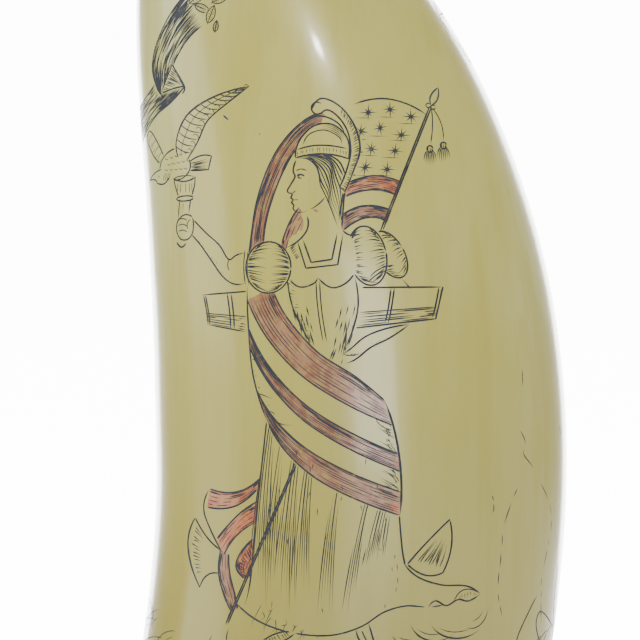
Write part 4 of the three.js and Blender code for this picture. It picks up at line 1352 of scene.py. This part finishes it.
class Nodes:
    """A material's node tree, with short ways to add the nodes used here."""

    def __init__(self, name):
        self.material = bpy.data.materials.new(name)
        self.material.use_nodes = True
        self.tree = self.material.node_tree
        self.shader = self.tree.nodes["Principled BSDF"]
        self.place = self.tree.nodes.new("ShaderNodeTexCoord").outputs["Object"]

    def link(self, source, socket):
        self.tree.links.new(source, socket)

    def noise(self, scale, detail=3.0, stretch=(1, 1, 1), roughness=0.55, distortion=0.0):
        """Noise with this many features to a metre, drawn out along the axes that have a small stretch."""
        mapping = self.tree.nodes.new("ShaderNodeMapping")
        mapping.inputs["Scale"].default_value = stretch
        noise = self.tree.nodes.new("ShaderNodeTexNoise")
        noise.inputs["Scale"].default_value = scale
        noise.inputs["Detail"].default_value = detail
        noise.inputs["Roughness"].default_value = roughness
        noise.inputs["Distortion"].default_value = distortion
        self.link(self.place, mapping.inputs["Vector"])
        self.link(mapping.outputs["Vector"], noise.inputs["Vector"])
        return noise.outputs["Fac"]

    def height(self, low, high, to_low=0.0, to_high=1.0):
        """How high a point is between two levels, in metres."""
        parts = self.tree.nodes.new("ShaderNodeSeparateXYZ")
        self.link(self.place, parts.inputs["Vector"])
        return self.spread(parts.outputs["Z"], low, high, to_low, to_high)

    def spread(self, value, low, high, to_low=0.0, to_high=1.0):
        node = self.tree.nodes.new("ShaderNodeMapRange")
        node.interpolation_type = "SMOOTHSTEP"
        for name, number in (("From Min", low), ("From Max", high), ("To Min", to_low),
                             ("To Max", to_high)):
            node.inputs[name].default_value = number
        self.link(value, node.inputs["Value"])
        return node.outputs["Result"]

    def mix(self, factor, a, b, blend="MIX"):
        node = self.tree.nodes.new("ShaderNodeMix")
        node.data_type = "RGBA"
        node.blend_type = blend
        for value, socket in ((factor, node.inputs["Factor"]), (a, node.inputs["A"]),
                              (b, node.inputs["B"])):
            self.put(value, socket)
        return node.outputs["Result"]

    def put(self, value, socket):
        if hasattr(value, "links"):
            self.link(value, socket)
        elif isinstance(value, tuple) and len(socket_value(socket)) == 4:
            socket.default_value = (*value, 1.0)
        else:
            socket.default_value = value

    def bump(self, value, strength, distance):
        node = self.tree.nodes.new("ShaderNodeBump")
        node.inputs["Strength"].default_value = strength
        node.inputs["Distance"].default_value = distance
        self.link(value, node.inputs["Height"])
        self.link(node.outputs["Normal"], self.shader.inputs["Normal"])

    def finish(self, colour, **settings):
        self.put(colour, self.shader.inputs["Base Color"])
        for name, value in settings.items():
            self.put(value, self.shader.inputs[name.replace("_", " ")])
        return self.material


def socket_value(socket):
    value = socket.default_value
    return value if hasattr(value, "__len__") else (value,)


CREAM = (0.575, 0.51, 0.115)
PALE = (0.63, 0.595, 0.21)
OLIVE = (0.48, 0.41, 0.07)
AMBER = (0.37, 0.31, 0.05)


def ivory_colour(nodes):
    """Old ivory: cream with pale clouds and fine upright streaks, and deeper in colour towards the root."""
    clouds = nodes.spread(nodes.noise(26, 4, (1, 1, 0.45)), 0.42, 0.66)
    streaks = nodes.spread(nodes.noise(190, 5, (1, 1, 0.07), 0.6, 0.3), 0.38, 0.68)
    root = nodes.height(0.115, 0.0, 0.0, 0.95)
    colour = nodes.mix(clouds, CREAM, PALE)
    colour = nodes.mix(nodes.spread(streaks, 0, 1, 0.0, 0.4), colour, OLIVE)
    return nodes.mix(root, colour, AMBER)


GLOSS = dict(Roughness=0.24, IOR=1.54, Subsurface_Weight=0.16, Subsurface_Radius=(1.0, 0.62, 0.28),
             Subsurface_Scale=0.0022,
             Coat_Weight=0.35, Coat_Roughness=0.08)


def ivory():
    nodes = Nodes("polished_ivory")
    nodes.bump(nodes.noise(420, 6, (1, 1, 0.12)), 0.12, 0.0002)
    return nodes.finish(ivory_colour(nodes), **GLOSS)


def stained_ivory(name, deep, thin):
    """Ivory that a red wash has soaked into, unevenly, so that the ivory shows through it."""
    nodes = Nodes(name)
    wash = nodes.mix(nodes.spread(nodes.noise(420, 4, (1, 1, 0.6)), 0.35, 0.68), deep, thin)
    strength = nodes.spread(nodes.noise(900, 3), 0.3, 0.62, 0.62, 0.96)
    return nodes.finish(nodes.mix(strength, ivory_colour(nodes), wash), **GLOSS)


def ink():
    """Blue-black ink in the grooves, rubbed thin in places."""
    nodes = Nodes("ink")
    worn = nodes.spread(nodes.noise(700, 3), 0.56, 0.78, 0.0, 0.7)
    colour = nodes.mix(worn, (0.028, 0.032, 0.042), (0.17, 0.16, 0.10))
    return nodes.finish(colour, Roughness=0.5, IOR=1.45, Coat_Weight=0.1)


def root():
    """The cut rim and the pulp cavity: matt, yellower, with the rings that the tooth grew in, and painted
    shade deep in the cavity.
    """
    nodes = Nodes("cut_root")
    rings = nodes.spread(nodes.noise(300, 5, (1, 1, 0.3), 0.6, 0.6), 0.35, 0.7)
    # painted shade: the cavity's colour darkens to near black with height, deeper into the recess
    depth = nodes.height(0.0, 0.055)
    colour = nodes.mix(rings, (0.42, 0.34, 0.15), (0.24, 0.17, 0.06))
    colour = nodes.mix(depth, colour, (0.10, 0.065, 0.03))
    nodes.bump(nodes.noise(520, 6), 0.5, 0.0004)
    return nodes.finish(colour, Roughness=0.62, IOR=1.5)


# ---- The tooth, the studio and the camera ----

tooth = build_tooth([
    ivory(),
    ink(),
    stained_ivory("red_ivory", (0.50, 0.10, 0.045), (0.56, 0.20, 0.10)),
    stained_ivory("rust_ivory", (0.30, 0.105, 0.06), (0.40, 0.19, 0.11)),
    root(),
])
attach(tooth, "root")
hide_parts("tooth")


def plain_material(name, colour, glow=0.0):
    nodes = Nodes(name)
    grain = nodes.noise(40, 2)
    return nodes.finish(nodes.mix(nodes.spread(grain, 0.3, 0.7, 0.0, 0.04), colour, (0.7, 0.7, 0.7)),
                        Roughness=0.7, Emission_Color=(1.0, 1.0, 1.0), Emission_Strength=glow)


def add_sweep():
    """A white floor that curves up into a backdrop behind the tooth."""
    near, bend, top, half, radius = -1.2, 0.55, 1.6, 1.6, 0.25
    profile = [(near, 0.0), (bend, 0.0)]
    for angle in np.linspace(0, math.pi / 2, 13)[1:]:
        profile.append((bend + radius * math.sin(angle), radius - radius * math.cos(angle)))
    profile.append((bend + radius, top))
    points = [(x, y, z) for y, z in profile for x in (-half, half)]
    faces = [(2 * i, 2 * i + 1, 2 * i + 3, 2 * i + 2) for i in range(len(profile) - 1)]
    mesh = bpy.data.meshes.new("sweep")
    mesh.from_pydata(points, [], faces)
    mesh.materials.append(plain_material("white_paper", (0.9, 0.9, 0.9)))
    sweep = bpy.data.objects.new("sweep", mesh)
    bpy.context.scene.collection.objects.link(sweep)


def add_lit_panel():
    """A glowing panel close behind the tooth, so that its background is pure white."""
    half_width, low, high, behind = 0.3, 0.002, 0.35, 0.42
    points = [(-half_width, behind, low), (half_width, behind, low), (half_width, behind, high),
              (-half_width, behind, high)]
    mesh = bpy.data.meshes.new("lit_panel")
    mesh.from_pydata(points, [], [(0, 1, 2, 3)])
    mesh.materials.append(plain_material("lit_paper", (0.9, 0.9, 0.9), 12.0))
    panel = bpy.data.objects.new("lit_panel", mesh)
    bpy.context.scene.collection.objects.link(panel)


def add_area(name, place, target, size, power, colour=(1, 1, 1)):
    data = bpy.data.lights.new(name, "AREA")
    data.size, data.energy, data.color = size, power, colour
    light = bpy.data.objects.new(name, data)
    light.location = place
    light.rotation_euler = (Vector(target) - Vector(place)).to_track_quat("-Z", "Y").to_euler()
    bpy.context.scene.collection.objects.link(light)


def on_front(x, z):
    """A picture point's place on the tooth and the skin's direction there, in metres."""
    turn, along = unchart(face_to_chart(np.array([[x, z]], float), -1))
    spot = (skin(turn, along)[0] + [SET_OVER, 0, 0]) * MM
    return Vector(spot), Vector(skin_normals(turn, along)[0])


VIEW_CENTRE = Vector(((MIDDLE - 5.25 + SET_OVER) * MM, 0.0, 0.0783))
VIEW_WIDTH = 0.1067
LENS = 400.0


def add_camera():
    data = bpy.data.cameras.new("camera")
    data.lens, data.sensor_width = LENS, 36.0
    camera = bpy.data.objects.new("camera", data)
    distance = VIEW_WIDTH * LENS / 36.0
    camera.location = VIEW_CENTRE - Vector((0, distance, 0))
    camera.rotation_euler = (math.pi / 2, 0, 0)
    bpy.context.scene.collection.objects.link(camera)
    bpy.context.scene.camera = camera
    return camera


def add_reflection(camera, x, z, distance, size, power, colour=(1, 1, 1)):
    """A lamp set where the camera sees it mirrored in the tooth at this picture point."""
    spot, outward = on_front(x, z)
    look = (spot - camera.location).normalized()
    mirrored = look - 2 * look.dot(outward) * outward
    add_area("mirrored_lamp", spot + mirrored * distance, spot, size, power, colour)


camera = add_camera()
add_sweep()
add_lit_panel()
add_reflection(camera, -5.6, 98.3, 0.6, 0.022, 0.5)
add_reflection(camera, 3.9, 45.8, 0.7, 0.16, 0.8, (0.86, 0.92, 1.0))
add_area("overhead", (0.1, -0.25, 0.9), (0, 0, 0.08), 0.7, 5.0)
add_area("left_window", (-0.8, -0.3, 0.35), (0, 0, 0.08), 0.6, 3.5, (0.96, 0.98, 1.0))

world = bpy.data.worlds.new("room")
world.use_nodes = True
world.node_tree.nodes["Background"].inputs["Color"].default_value = (0.95, 0.97, 1.0, 1.0)
world.node_tree.nodes["Background"].inputs["Strength"].default_value = 0.39
bpy.context.scene.world = world
